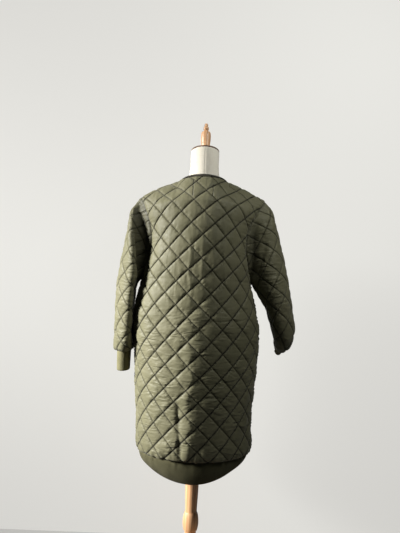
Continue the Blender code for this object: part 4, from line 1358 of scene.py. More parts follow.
@dataclass
class Placket:
    """Closing band down the front with its row of snaps.

    Attributes:
        share, half: Its half width, as a share of the front and in metres.
        seat, wall: Gap between the coat and the band, and its thickness.
        hem: Share of its half width that its edge rounds over.
        columns, rows, rib_rows: Points across it, and along it over the front and the rib.
        snap_radius, snap_tall, snap_sides: Size of a snap and its mesh steps round.
        snaps, snap_top, snap_low: How many, and heights of the first and the last.
    """

    share: float = 0.055
    half: float = 0.012
    seat: float = 0.0005
    wall: float = 0.0018
    hem: float = 0.16
    columns: int = 21
    rows: int = 150
    rib_rows: int = 17
    snap_radius: float = 0.0075
    snap_tall: float = 0.0024
    snap_sides: int = 40
    snaps: int = 7
    snap_top: float = 1.255
    snap_low: float = 0.505

    STITCH_AT, STITCH_DEEP, STITCH_WIDE = 0.80, 0.00035, 0.06        # shares of the half width
    PUCKER_AT, PUCKER_HIGH, PUCKER_WIDE = 0.86, 0.0003, 0.14
    SNAP_PROFILE = ((0.0, 0.78), (0.30, 0.76), (0.46, 0.70), (0.56, 0.58), (0.62, 0.60), (0.72, 0.80),
                    (0.82, 0.92), (0.91, 0.90), (0.97, 0.70), (1.0, 0.35), (0.98, 0.0))

    def rib_line(self, c: Array, share: float) -> tuple[Array, Array]:
        """Points and normals of the rib under the band, at a share of the way down it."""
        def at(u: Array, q: float) -> Array:
            """Points of the rib at u and one q."""
            return hem_rib_points(u, np.full(len(c), q))

        u = np.abs(c)
        n = unit(np.cross(at(u + 0.01, share) - at(u, share),
                          at(u, max(share - 0.02, 0)) - at(u, min(share + 0.02, 1))))
        n *= np.sign(-n[:, 1])[:, None]
        n[:, 0] *= np.sign(c + 1e-12)
        return at(np.where(c >= 0, c, 4 + c), share), n

    def line(self, c: Array) -> tuple[Array, Array]:
        """Points and normals of the coat under the band, from the rib's edge up.

        Args:
            c: Columns across the band.

        Returns:
            The points and the normals, (row, column, 3).
        """
        body = BodySurface(Face.FRONT)
        lines = [self.rib_line(c, share) for share in np.linspace(1, 0, self.rib_rows + 1)[:-1]]
        for row in np.linspace(0, TOP_ROW, self.rows):
            q = np.full(len(c), row)
            lines.append((body.points(c, q), body.normals(c, q)))
        return np.stack([x for x, _ in lines]), np.stack([n for _, n in lines])

    def build(self, cloth: Material, brass: Material) -> list[Piece]:
        """Make the band and its snaps.

        Args:
            cloth: The band's finish.
            brass: The snaps' finish.

        Returns:
            The two pieces.
        """
        across = np.linspace(-1, 1, self.columns)
        x, n = self.line(self.share * across)
        rows, centre = len(x), self.columns // 2
        run = run_along(x[:, centre])
        edge = np.clip((1 - np.abs(across)) / self.hem, 0, 1) ** 0.5
        stitched = -self.STITCH_DEEP * np.exp(-((np.abs(across) - self.STITCH_AT) / self.STITCH_WIDE) ** 2)
        pucker = self.PUCKER_HIGH * np.exp(-((np.abs(across) - self.PUCKER_AT) / self.PUCKER_WIDE) ** 2)
        high = (self.seat + self.wall * edge + stitched)[None, :] \
            + pucker[None, :] * ripple(run, 0.0095, 0.9)[:, None]
        points = (x + n * high[:, :, None]).reshape(-1, 3)
        band = make_object("placket", points, grid_faces(rows, self.columns), cloth)
        face_outwards(band, n.reshape(-1, 3))
        beside = np.abs(np.abs(across) - self.STITCH_AT)
        paint(band, "cloth", np.stack([np.repeat(across[None, :] * self.half, rows, 0),
                                       np.repeat(run[:, None], self.columns, 1),
                                       np.repeat(beside[None, :] * self.half, rows, 0)], -1).reshape(-1, 3))
        paint(band, "quilt", np.full((len(points), 3), 0.5))
        carry(band, "olive_satin", "front_band")
        middle, normal = x[:, centre] + n[:, centre] * (self.seat + self.wall), n[:, centre]
        return [band, self.snap_caps(middle, normal, brass)]

    def snap_caps(self, middle: Array, normal: Array, brass: Material) -> Piece:
        """Make the row of snaps.

        Args:
            middle: The band's middle line, on its outside.
            normal: Its normals.
            brass: The snaps' finish.

        Returns:
            The piece.
        """
        turned, faces, start = [], [], 0
        for z in np.linspace(self.snap_top, self.snap_low, self.snaps):
            i = int(np.argmin(np.abs(middle[:, 2] - z)))
            turn = np.array(Vector(normal[i]).to_track_quat("Z", "Y").to_matrix())
            ring, quads = spin(self.SNAP_PROFILE, self.snap_sides, self.snap_radius, self.snap_tall)
            turned.append(ring @ turn.T + middle[i])
            faces.append(quads + start)
            start += len(ring)
        caps = make_object("snap_caps", np.concatenate(turned), np.concatenate(faces), brass)
        carry(caps, "dull_brass", *(f"snap_{k + 1}" for k in range(self.snaps)))
        return caps


def spin(profile: Sequence[Pair], sides: int, wide: float = 1, tall: float = 1) -> tuple[Array, Array]:
    """Turn a profile of radius and height about the Z axis.

    Args:
        profile: Radius and height down the outer side.
        sides: Steps round.
        wide: Scale of the radii.
        tall: Scale of the heights.

    Returns:
        The points and the quads.
    """
    turn = 2 * math.pi * np.arange(sides) / sides
    rings = [np.stack([wide * r * np.cos(turn), wide * r * np.sin(turn), np.full(sides, tall * h)], 1)
             for r, h in profile]
    return np.concatenate(rings), grid_faces(len(profile), sides, True)[:, ::-1]


# ---------- the dress form
@dataclass
class DressForm:
    """Linen-covered torso with its corded neck.

    Attributes:
        neck_radius, tube_z: Of the neck's tube, and where it is straight.
        top_z, slant: Height of its slanted top, and the rise for each metre to the back.
        trim_wide, trim_tall: Size of the cord round the top.
        cap_dip: How much lower the disc on the top is at its edge.
        sides: Mesh steps round.
        seam_deep, seam_wide: Groove of the cover's seams.
    """

    neck_radius: float = 0.05
    tube_z: float = 1.45
    top_z: float = 1.487
    slant: float = 0.256
    trim_wide: float = 0.0026
    trim_tall: float = 0.0052
    cap_dip: float = 0.0029
    sides: int = 160
    seam_deep: float = 0.0008
    seam_wide: float = 0.0011

    STEPS, STRAIGHT_STEPS, CORD_SIDES = 4, 8, 14
    INSET = 0.0002           # of the cord and the cap in the neck's edge

    # z, half width, depth of the back and front, how pointed the section's ends are
    ROWS = (
        (0.76, 0.15, 0.108, 0.1, 1.0), (0.82, 0.162, 0.118, 0.106, 1.0),
        (0.89, 0.156, 0.112, 0.102, 1.0), (0.96, 0.132, 0.092, 0.094, 1.0),
        (1.01, 0.122, 0.084, 0.092, 1.0), (1.07, 0.131, 0.091, 0.104, 1.0),
        (1.14, 0.147, 0.104, 0.118, 1.0), (1.2, 0.156, 0.106, 0.108, 1.0),
        (1.26, 0.164, 0.1, 0.088, 1.1), (1.3, 0.169, 0.084, 0.066, 1.6),
        (1.325, 0.17, 0.07, 0.055, 2.2), (1.3438, 0.164, 0.061, 0.0495, 4.4),
        (1.3571, 0.14, 0.056, 0.0485, 5.4), (1.3709, 0.108, 0.053, 0.048, 4.6),
        (1.378, 0.078, 0.051, 0.047, 3.4), (1.3812, 0.066, 0.0505, 0.047, 2.3),
        (1.388, 0.058, 0.05, 0.048, 1.4), (1.402, 0.054, 0.0498, 0.0485, 1.0),
        (1.425, 0.0508, 0.0498, 0.049, 1.0))

    def angles(self) -> Array:
        """Steps round the form, closer together at the back and front seams."""
        turn = 2 * math.pi * np.arange(self.sides) / self.sides
        return turn + 0.42 * np.sin(2 * turn) / 2

    def ring(self, z: float, wide: float, back: float, front: float, point: float) -> Array:
        """One level section of the torso, from a row of ROWS."""
        turn = self.angles()
        rise = np.sin(turn)
        depth = np.where(rise > 0, back, -front) * np.abs(rise) ** point
        return np.stack([wide * np.cos(turn), depth, np.full(len(turn), z)], 1)

    def slanted(self, radius: float, lift: float) -> Array:
        """Ring in the slanted plane of the neck's top."""
        turn = self.angles()
        x, y = radius * np.cos(turn), radius * np.sin(turn)
        return np.stack([x, y, self.top_z + lift + self.slant * y], 1)

    def seams(self, x: Array) -> Array:
        """Sink the cover along its centre back and centre front seams."""
        groove = self.seam_deep * np.exp(-(x[:, :1] / self.seam_wide) ** 2)
        return x - unit(x * (1, 1, 0)) * (groove * (np.abs(x[:, 1:2]) > 0.02))

    def build(self, linen: Material, trim: Material) -> list[Piece]:
        """Make the cover, the neck's top and its trim.

        Args:
            linen: Finish of the cover and the top.
            trim: Finish of the cord.

        Returns:
            The three pieces.
        """
        return [self.cover(linen), self.cord(trim), self.cap(linen)]

    def cover(self, linen: Material) -> Piece:
        """Make the cover, from its open foot to the neck's slanted top."""
        table = [self.ring(*row) for row in self.ROWS]
        table.append(self.ring(self.tube_z, *[self.neck_radius] * 3, 1.0))
        fine = []
        for low, high in zip(table, table[1:]):
            fine += [low + (high - low) * f for f in np.arange(self.STEPS) / self.STEPS]
        top = self.slanted(self.neck_radius, 0)
        fine += [table[-1] + (top - table[-1]) * f for f in np.linspace(0, 0.95, self.STRAIGHT_STEPS)]
        fine += [self.slanted(self.neck_radius - step, lift)
                 for step, lift in ((self.INSET, -0.0004), (0.0009, 0), (0.004, 0))]
        fine = [self.seams(ring) for ring in fine]
        fine = [fine[0] * (f, f, 1) for f in (0.3, 0.7, 0.97)] + fine
        points = np.concatenate(fine)
        cover = make_object("form_cover", points, grid_faces(len(fine), self.sides, True), linen)
        face_outwards(cover, points * (1, 1, 0))
        carry(cover, "cream_linen", "form_body")
        return cover

    def cord(self, trim: Material) -> Piece:
        """Make the cord round the neck's top."""
        def bulge(value: float, power: float) -> float:
            """A sine or cosine drawn out towards a square section."""
            return math.copysign(abs(value) ** power, value)

        half, tall = self.trim_wide / 2, self.trim_tall / 2
        turn = 2 * math.pi * np.arange(self.CORD_SIDES) / self.CORD_SIDES
        rows = [self.slanted(self.neck_radius - self.INSET - half + half * bulge(math.cos(t), 0.7),
                             SEAM_GAP + tall + tall * bulge(math.sin(t), 0.8)) for t in turn]
        rows.append(rows[0])
        cord = make_object("trim_cord", np.concatenate(rows), grid_faces(len(rows), self.sides, True), trim)
        outer = (0, 1, self.CORD_SIDES - 1)
        face_outwards(cord, np.concatenate([unit(row * (1, 1, 0)) * float(i in outer)
                                            for i, row in enumerate(rows)]))
        carry(cord, "brown_trim", "neck_trim")
        return cord

    def cap(self, linen: Material) -> Piece:
        """Make the domed disc inside the cord."""
        edge, gap = self.neck_radius - self.INSET - (self.trim_wide + SEAM_GAP), SEAM_GAP
        dome = [(edge - step, gap + lift)
                for step, lift in ((0, 0), (0, 0.0030), (0.0004, 0.0040), (0.0014, 0.0047))]
        dome += [(edge * r, gap + NECK_CAP_TALL - self.cap_dip * (r / 0.96) ** 3)
                 for r in (0.9, 0.8, 0.7, 0.6, 0.45, 0.3, 0.15, 0.02)]
        rows = [self.slanted(r, h) for r, h in dome]
        disc = make_object("neck_disc", np.concatenate(rows), grid_faces(len(rows), self.sides, True), linen)
        face_outwards(disc, np.tile([0.0, 0.0, 1.0], (len(rows) * self.sides, 1)))
        carry(disc, "cream_linen", "neck_cap")
        return disc


@dataclass
class TurnedPiece:
    """A lathe-turned wooden piece.

    Attributes:
        name: The piece's name.
        node: CAD node that it stands for.
        profile: Radius and height down its outer side.
        place: Where its foot stands.
        tilt: Turn about X in radians.
        sides: Mesh steps round.
        sharp: Cosine of the turn from which a corner of the profile stays sharp.
        crease: Degrees between faces from which their edge shades sharp.
    """

    name: str
    node: str
    profile: Sequence[Pair]
    place: tuple[float, float, float] = (0, 0, 0)
    tilt: float = 0.0
    sides: int = 96
    sharp: float = 0.6
    crease: float = 32

    STRAIGHT, CURVED = 4, 6  # mesh steps from one row of the profile to the next

    def build(self, material: Material) -> Piece:
        """Turn the piece on a smoothed profile.

        Args:
            material: Its finish.

        Returns:
            The piece.
        """
        table = np.array(self.profile, dtype=float)
        ends = [0] + [k for k in range(1, len(table) - 1) if self.corner(table, k)] + [len(table) - 1]
        line = []
        for low, high in zip(ends, ends[1:]):
            part = table[low:high + 1]
            if len(part) == 2:
                line.append(part[0] + (part[1] - part[0]) * np.linspace(0, 1, self.STRAIGHT + 1)[:-1, None])
            else:
                last = len(part) - 1
                line.append(table_at(part, np.linspace(0, last, self.CURVED * last + 1)[:-1]))
        line = np.concatenate(line + [table[-1:]])
        line[:, 0] = np.maximum(line[:, 0], 0.0001)
        points, quads = spin(line.tolist(), self.sides)
        turn = Matrix.Rotation(self.tilt, 3, "X")
        points = points @ np.array(turn).T + self.place
        obj = make_object(self.name, points, quads, material)
        obj.data.set_sharp_from_angle(angle=math.radians(self.crease))
        carry(obj, "turned_wood", self.node)
        return obj

    def corner(self, table: Array, k: int) -> bool:
        """Whether the profile turns sharply at a point."""
        before, after = unit(table[k] - table[k - 1]), unit(table[k + 1] - table[k])
        return float(before @ after) < self.sharp


# ---------- finishes
LABEL_TACKS = ((0.0362, 1.318, 1.378), (-0.0322, 1.320, 1.362))   # x, low and high end


@dataclass(frozen=True)
class QuiltedSatin:
    """Olive nylon satin with stitched quilting lines.

    Attributes:
        base, light: Its darker and lighter olive.
        thread: The thread's colour, also used for the shade painted beside the quilting lines and along the
            seams.
        roughness: The satin's roughness.
        line: Distance between two quilting lines.
        painted_line_shade: How dark the shade painted beside each of the two sets of lines is, one set darker
            as if the light fell across it.
        hollow: How dark the shade painted in the troughs is, beside each set of lines.
        quilted: Whether it has quilting lines at all.
    """

    base: Colour = (0.107, 0.101, 0.056)
    light: Colour = (0.124, 0.116, 0.067)
    thread: Colour = (0.014, 0.013, 0.007)
    roughness: float = 0.58
    line: float = 0.0558
    painted_line_shade: Pair = (0.9, 0.40)
    hollow: Pair = (0.93, 0.33)
    quilted: bool = True

    def make(self, name: str) -> Material:
        """Build the material under the given name."""
        m = Painter(name)
        place, lie = m.place(), m.attribute("cloth")
        cloud = m.noise(place, 9.0, 4.0)
        fine = m.noise(place, 85.0, 3.0)
        colour = m.mix(m.range(cloud, 0.35, 0.68), self.base, self.light)
        _, up, reach = m.split(lie)
        weave = m.node("ShaderNodeTexWave", wave_type="BANDS", bands_direction="DIAGONAL",
                       Vector=m.scaled(lie, (1900.0, 1400.0, 1.0)), Scale=0.5, Distortion=1.2)
        normal = m.bump(weave.outputs["Fac"], 0.00003, 0.35)
        tall = m.noise(m.scaled(lie, (62.0, 13.0, 1.0)), 1.0, 1.5, 0.45)
        wide = m.noise(m.scaled(lie, (17.0, 54.0, 1.0)), 1.0, 1.6, 0.42, 1.1)
        crease = m.mix(m.range(up, 0.45, 0.62), wide, tall)
        calm = m.range(m.noise(m.scaled(lie, (13.0, 13.0, 1.0)), 1.0, 1.0), 0.4, 0.62, 0.3, 1.0)
        low = m.range(up, 0.3, 0.62, 1.9, 0.95)
        normal = m.bump(m.math("MULTIPLY", m.math("MULTIPLY", crease, calm), low), 0.0050, 0.85, normal)
        rough = m.range(fine, 0.3, 0.7, self.roughness - 0.05, self.roughness + 0.09)
        if self.quilted:
            colour, normal, near = self.stitch(m, colour, normal)
            rough = m.math("MAXIMUM", rough, m.range(near, 0.001, 0.005, 0.95, 0.4))
            for x, low, high in LABEL_TACKS:
                colour, normal = self.tack(m, x, low, high, colour, normal)
        else:
            dash = m.math("GREATER_THAN", m.math("FRACT", m.math("MULTIPLY", up, 340.0)), 0.3)
            row = m.math("LESS_THAN", reach, 0.00035)
            colour = m.mix(m.math("MULTIPLY", dash, row), colour, self.thread)
        return m.finish(colour, rough, normal, Sheen_Weight=0.08, Sheen_Roughness=0.45,
                        Specular_IOR_Level=0.22)

    def tack(self, m: Painter, x: float, low: float, high: float, colour: Socket,
             normal: Socket) -> tuple[Socket, Socket]:
        """Add an upright row of stitches at x on the back, which holds the label inside."""
        at = m.split(m.place())
        off = m.math("ABSOLUTE", m.math("SUBTRACT", at[0], x))
        mid = m.math("ABSOLUTE", m.math("SUBTRACT", at[2], (low + high) / 2))
        on = m.math("MULTIPLY", m.math("GREATER_THAN", at[1], 0.03),
                    m.math("LESS_THAN", mid, (high - low) / 2))
        groove = m.math("MULTIPLY", m.range(off, 0.0002, 0.0028, 1.0, 0.0), on)
        # Thread at the middle and painted shade in its groove: darkened towards the thread colour, fading out
        # 2.8 mm away.
        colour = m.mix(m.math("MULTIPLY", groove, 0.7), colour, self.thread)
        return colour, m.bump(m.math("MULTIPLY", groove, -1.0), 0.0020, 1.0, normal)

    def stitch(self, m: Painter, colour: Socket, normal: Socket) -> tuple[Socket, Socket, Socket]:
        """Thread along both sets of quilting lines, with puckers beside it.

        Args:
            m: The material's painter.
            colour: The cloth's colour.
            normal: The cloth's bumped normal.

        Returns:
            The new colour and normal, and the distance to the nearest line.
        """
        marks = m.split(m.attribute("quilt"))
        away = []
        for k in (0, 1):
            near = m.math("SUBTRACT", m.math("FRACT", m.math("ADD", marks[k], 0.5)), 0.5)
            off = m.math("MULTIPLY", m.math("ABSOLUTE", near), self.line)
            away.append(off)
            dash = m.math("GREATER_THAN", m.math("FRACT", m.math("MULTIPLY", marks[1 - k], 17.0)), 0.28)
            thread = m.math("MULTIPLY", dash, m.math("LESS_THAN", off, 0.00042))
            # Painted shade: the cloth beside each line darkens towards the thread colour over 4.4 mm, one set
            # of lines darker than the other.
            shade = m.range(off, 0.0008, 0.0044, self.painted_line_shade[k], 0.0)
            colour = m.mix(shade, colour, self.thread)
            colour = m.mix(thread, colour, self.thread)
            along = m.node("ShaderNodeCombineXYZ", X=m.math("MULTIPLY", marks[1 - k], 8.5),
                           Y=m.math("MULTIPLY", marks[k], 0.9), Z=3.1 * k)
            pucker = m.noise(along.outputs[0], 1.0, 1.0)
            fade = m.math("MULTIPLY", m.range(off, 0.002, 0.014, 1.0, 0.0), m.range(off, 0.0005, 0.003))
            normal = m.bump(m.math("MULTIPLY", pucker, fade), 0.0022, 0.8, normal)
        # Painted shade in the troughs of the folds: darker where they are deeper, more so beside the darker
        # set of lines.
        deep = m.range(m.math("SUBTRACT", *away), -0.004, 0.004, *self.hollow)
        hollow = m.math("MULTIPLY", m.range(marks[2], 0.15, 1.1), deep)
        colour = m.mix(hollow, colour, tuple(0.12 * c for c in self.base))
        # Painted shade along the seams: the cloth darkens towards the thread colour within 6 mm of a border.
        colour = m.mix(m.range(m.split(m.attribute("cloth"))[2], 0.0, 0.006, 0.55, 0.0), colour, self.thread)
        return colour, normal, m.math("MINIMUM", *away)


@dataclass(frozen=True)
class Knit:
    """Matt rib knit, or a plain woven tape.

    Attributes:
        base, light: Its darker and lighter colour.
        course: Courses for each metre.
    """

    base: Colour
    light: Colour
    course: float = 520.0

    def make(self, name: str) -> Material:
        """Build the material under the given name."""
        m = Painter(name)
        mark = m.split(m.attribute("knit"))
        cloud = m.noise(m.place(), 40.0, 4.0)
        fuzz = m.noise(m.place(), 900.0, 2.0)
        colour = m.mix(m.range(cloud, 0.3, 0.7), self.base, self.light)
        # Painted shade: darker in the valleys between the ribs, and darker all over where the mark carries no
        # rib height.
        deep = m.range(mark[2], 0.0, 0.8, 0.35, 0.0)
        colour = m.mix(deep, colour, tuple(c * 0.35 for c in self.base))
        loop = m.math("SINE", m.math("MULTIPLY", mark[1], self.course * 2 * math.pi))
        normal = m.bump(loop, 0.00010, 0.3)
        normal = m.bump(fuzz, 0.0003, 0.5, normal)
        rough = m.range(fuzz, 0.3, 0.7, 0.78, 0.95)
        return m.finish(colour, rough, normal, Sheen_Weight=0.05, Sheen_Roughness=0.6,
                        Specular_IOR_Level=0.25)


@dataclass(frozen=True)
class Linen:
    """Undyed plain-weave linen with slubs."""

    base: Colour = (0.80, 0.755, 0.655)
    dark: Colour = (0.68, 0.62, 0.51)

    def make(self, name: str) -> Material:
        """Build the material under the given name."""
        m = Painter(name)
        place = m.place()
        warp = m.noise(m.scaled(place, (900.0, 900.0, 60.0)), 1.0, 3.0)
        weft = m.noise(m.scaled(place, (60.0, 60.0, 1100.0)), 1.0, 3.0)
        slub = m.math("MULTIPLY", m.math("ADD", warp, weft), 0.5)
        cloud = m.noise(place, 14.0, 3.0)
        colour = m.mix(m.range(slub, 0.38, 0.62), self.dark, self.base)
        colour = m.mix(m.range(cloud, 0.3, 0.75, 0.0, 0.22), colour, (0.70, 0.60, 0.44))
        x, y, _ = m.split(place)
        seam = m.range(m.math("ABSOLUTE", x), 0.0002, 0.0010, 0.6, 0.0)
        far = m.math("GREATER_THAN", m.math("ABSOLUTE", y), 0.02)
        colour = m.mix(m.math("MULTIPLY", seam, far), colour, (0.42, 0.36, 0.27))
        normal = m.bump(slub, 0.0006, 0.5)
        return m.finish(colour, m.range(slub, 0.3, 0.7, 0.80, 0.95), normal,
                        Sheen_Weight=0.15, Sheen_Roughness=0.6)


@dataclass(frozen=True)
class Cord:
    """Brown plaited trim."""

    base: Colour = (0.135, 0.070, 0.036)

    def make(self, name: str) -> Material:
        """Build the material under the given name."""
        m = Painter(name)
        place = m.place()
        x, y, z = m.split(place)
        turn = m.math("ARCTAN2", y, x)
        twist = m.math("SINE", m.math("ADD", m.math("MULTIPLY", turn, 110.0), m.math("MULTIPLY", z, 900.0)))
        # Painted shade and highlight: darker in the grooves of the twist and lighter on its ridges, following
        # the bump.
        colour = m.mix(m.range(twist, -1.0, 1.0), tuple(c * 0.55 for c in self.base),
                       tuple(c * 1.5 for c in self.base))
        normal = m.bump(twist, 0.0005, 0.7)
        return m.finish(colour, m.range(m.noise(place, 700.0), 0.3, 0.7, 0.6, 0.8), normal,
                        Sheen_Weight=0.2, Sheen_Roughness=0.5)


@dataclass(frozen=True)
class Brass:
    """Dull antique brass."""

    base: Colour = (0.30, 0.235, 0.13)
    dark: Colour = (0.10, 0.078, 0.045)

    def make(self, name: str) -> Material:
        """Build the material under the given name."""
        m = Painter(name)
        worn = m.noise(m.place(), 420.0, 5.0)
        colour = m.mix(m.range(worn, 0.4, 0.62), self.dark, self.base)
        normal = m.bump(m.noise(m.place(), 1500.0, 2.0), 0.0001, 0.4)
        return m.finish(colour, m.range(worn, 0.3, 0.7, 0.52, 0.30), normal, Metallic=0.9)


@dataclass(frozen=True)
class TurnedWood:
    """Pale pine under clear satin varnish, its grain along the pole."""

    base: Colour = (0.60, 0.345, 0.178)
    dark: Colour = (0.43, 0.215, 0.092)

    def make(self, name: str) -> Material:
        """Build the material under the given name."""
        m = Painter(name)
        place = m.place()
        bend = m.noise(m.scaled(place, (9.0, 9.0, 1.6)), 1.0, 2.0)
        rings = m.node("ShaderNodeTexWave", wave_type="BANDS", bands_direction="X", Scale=1.0,
                       Vector=m.scaled(place, (36.0, 22.0, 1.3)), Distortion=5.5, Detail=2.0)
        pores = m.noise(m.scaled(place, (950.0, 950.0, 38.0)), 1.0, 4.0)
        colour = m.mix(m.range(rings.outputs["Fac"], 0.25, 0.95, 0.0, 0.85), self.base, self.dark)
        colour = m.mix(m.range(pores, 0.52, 0.72, 0.0, 0.5), colour, (0.30, 0.14, 0.055))
        colour = m.mix(m.range(bend, 0.35, 0.7, 0.0, 0.3), colour, (0.70, 0.43, 0.235))
        normal = m.bump(pores, 0.00025, 0.35)
        return m.finish(colour, m.range(pores, 0.3, 0.7, 0.42, 0.56), normal,
                        Coat_Weight=0.25, Coat_Roughness=0.28)


class Finish(Enum):
    """The finishes by the name of their material."""

    SATIN = ("quilted_satin", QuiltedSatin())
    # The sleeves get weaker painted shade beside their lines and in their troughs.
    SLEEVE = ("sleeve_satin", QuiltedSatin(painted_line_shade=(0.45, 0.55), hollow=(0.45, 0.55)))
    BAND = ("plain_satin", QuiltedSatin(quilted=False))
    LINING = ("lining_satin", QuiltedSatin((0.045, 0.043, 0.027), (0.058, 0.055, 0.036), quilted=False))
    RIB = ("rib_knit", Knit((0.049, 0.045, 0.018), (0.066, 0.060, 0.026)))
    # The cuffs take a lighter copy of the rib knit: painted light, as they face the light more than the hem
    # rib does.
    LIT_CUFF = ("cuff_knit", Knit((0.125, 0.115, 0.056), (0.160, 0.147, 0.074)))
    TAPE = ("binding_tape", Knit((0.030, 0.025, 0.016), (0.042, 0.036, 0.024), 900.0))
    BRASS = ("antique_brass", Brass())
    LINEN = ("cream_linen_cover", Linen())
    CORD = ("brown_plait", Cord())
    WOOD = ("varnished_pine", TurnedWood())

    def get(self) -> Material:
        """The material, made on first use."""
        name, look = self.value
        return bpy.data.materials.get(name) or look.make(name)


# ---------- the studio
@dataclass
class Studio:
    """Floor, wall, light and camera.

    Attributes:
        wall_y: Where the pale wall stands behind the coat.
        key_turn: Degrees of the key light from +X towards +Y.
        key_rise: Degrees of the key light above the horizon.
        key_away, key_size, key_power, key_cone: Its distance, size, watts and cone in degrees.
        glow: How bright the wall looks by itself.
        middle: Height that the lights look at.
        camera_at, camera_roll: Where the camera stands and the degrees that it leans.
        lens, sensor: Its focal length and the height of its frame, in millimetres.
    """

    wall_y: float = -0.27
    key_turn: float = 9.5
    key_rise: float = 19.0
    key_away: float = 4.5
    key_size: float = 1.2
    key_power: float = 4400.0
    key_cone: float = 27.0
    glow: float = 0.67
    middle: float = 0.95
    camera_at: tuple[float, float, float] = (0.0026, 2.25, 1.08)
    camera_roll: float = 2.29
    lens: float = 42.551595
    sensor: float = 36.0

    def plaster(self, name: str, colour: Colour, glow: float, clear: bool = False) -> Material:
        """Plain pale surface; a clear one doesn't block light or the view from behind.

        Args:
            name: The material's name.
            colour: What it reflects.
            glow: How bright it looks by itself, without lighting the coat.
            clear: Whether it is one-sided.

        Returns:
            The material.
        """
        m = Painter(name)
        grain = m.noise(m.place(), 180.0, 4.0)
        shade = m.mix(m.range(grain, 0.3, 0.7), tuple(c * 0.985 for c in colour), colour)
        material = m.finish(shade, 0.9, m.bump(grain, 0.0004, 0.2), Specular_IOR_Level=0.1)
        m.shader.inputs["Emission Color"].default_value = (0.97, 0.955, 0.91, 1)
        path, side = m.node("ShaderNodeLightPath"), m.node("ShaderNodeNewGeometry")
        _, _, height = m.split(m.place())
        # The glow is a little dimmer low down than high up: painted light falloff on the backdrop.
        tall = m.range(height, 0.2, 1.9, 0.95 * glow, 1.06 * glow)
        seen = m.math("MULTIPLY", tall, path.outputs["Is Camera Ray"])
        m.feed(m.shader.inputs["Emission Strength"], seen)
        if clear:
            through = m.math("MAXIMUM", path.outputs["Is Shadow Ray"], side.outputs["Backfacing"])
            see_through, mixed = m.node("ShaderNodeBsdfTransparent"), m.node("ShaderNodeMixShader")
            for socket, value in zip(mixed.inputs, (through, m.shader.outputs[0], see_through.outputs[0])):
                m.feed(socket, value)
            m.feed(m.tree.nodes["Material Output"].inputs[0], mixed.outputs[0])
        return material

    def build(self) -> None:
        """Make the whole setting."""
        self.surfaces()
        self.lights()
        self.camera()

    def surfaces(self) -> None:
        """Floor and wall, which aren't part of the object."""
        floor = make_object("floor", [(-4, -4, 0), (4, -4, 0), (4, 5, 0), (-4, 5, 0)], [(0, 1, 2, 3)],
                            self.plaster("floor_plaster", (0.13, 0.129, 0.124), 0.42), False)
        y = self.wall_y
        wall = make_object("wall", [(2.6, y, 0), (-2.6, y, 0), (-2.6, y, 2.9), (2.6, y, 2.9)], [(0, 1, 2, 3)],
                           self.plaster("wall_plaster", (0.15, 0.152, 0.147), self.glow, True), False)
        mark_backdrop(floor, wall)

    def lights(self) -> None:
        """Broad low key light from the wearer's left, weak fill and a pale world."""
        turn, rise = math.radians(self.key_turn), math.radians(self.key_rise)
        to_key = Vector((math.cos(turn) * math.cos(rise), math.sin(turn) * math.cos(rise), math.sin(rise)))
        key = bpy.data.lights.new("key", "SPOT")
        key.shadow_soft_size, key.energy, key.color = self.key_size / 2, self.key_power, (0.985, 0.98, 0.955)
        key.spot_size, key.spot_blend = math.radians(self.key_cone), 1.0
        away = to_key * self.key_away
        self.hang("key", key, Vector((0, 0, self.middle)) + away, Vector((0, 0, -0.28)) - away)
        self.panel("top", Vector((-0.75, 0.75, 2.15)), 0.7, 13.0, (0.96, 0.98, 0.95))
        self.panel("fill_front", Vector((0.7, -2.6, 1.9)), 1.8, 45.0, (0.96, 0.97, 1.0))
        world = bpy.data.worlds.new("room")
        bpy.context.scene.world = world
        world.use_nodes = True
        tree = world.node_tree
        dim, seen = tree.nodes["Background"], tree.nodes.new("ShaderNodeBackground")
        for node, colour, strength in ((dim, (0.60, 0.80, 1.0), 0.026), (seen, (0.86, 0.86, 0.83), 0.9)):
            node.inputs["Color"].default_value = (*colour, 1)
            node.inputs["Strength"].default_value = strength
        path, mixed = tree.nodes.new("ShaderNodeLightPath"), tree.nodes.new("ShaderNodeMixShader")
        for k, source in enumerate((path.outputs["Is Camera Ray"], dim.outputs[0], seen.outputs[0])):
            tree.links.new(source, mixed.inputs[k])
        tree.links.new(mixed.outputs[0], tree.nodes["World Output"].inputs[0])

    def panel(self, name: str, place: Vector, size: float, power: float, colour: Colour) -> None:
        """Hang a square soft light, size metres wide, that looks at the coat."""
        lamp = bpy.data.lights.new(name, "AREA")
        lamp.size, lamp.energy, lamp.color = size, power, colour
        self.hang(name, lamp, place, Vector((0, 0, self.middle)) - place)

    def hang(self, name: str, lamp: bpy.types.Light, place: Vector, aim: Vector) -> None:
        """Put a light in its place, so that it shines along a direction."""
        obj = put(name, lamp)
        obj.location, obj.rotation_euler = place, aim.to_track_quat("-Z", "Y").to_euler()
        obj.visible_camera = False

    def camera(self) -> None:
        """Camera level with the coat's middle, looking at its back."""
        data = bpy.data.cameras.new("camera")
        data.sensor_fit, data.sensor_height, data.lens = "VERTICAL", self.sensor, self.lens
        obj = put("camera", data)
        turn = (Matrix.Rotation(math.pi, 3, "Z") @ Matrix.Rotation(math.pi / 2, 3, "X")
                @ Matrix.Rotation(math.radians(self.camera_roll), 3, "Z"))
        obj.location, obj.rotation_euler = self.camera_at, turn.to_euler()
        scene = bpy.context.scene
        scene.camera = obj
        scene.view_settings.view_transform = "Standard"


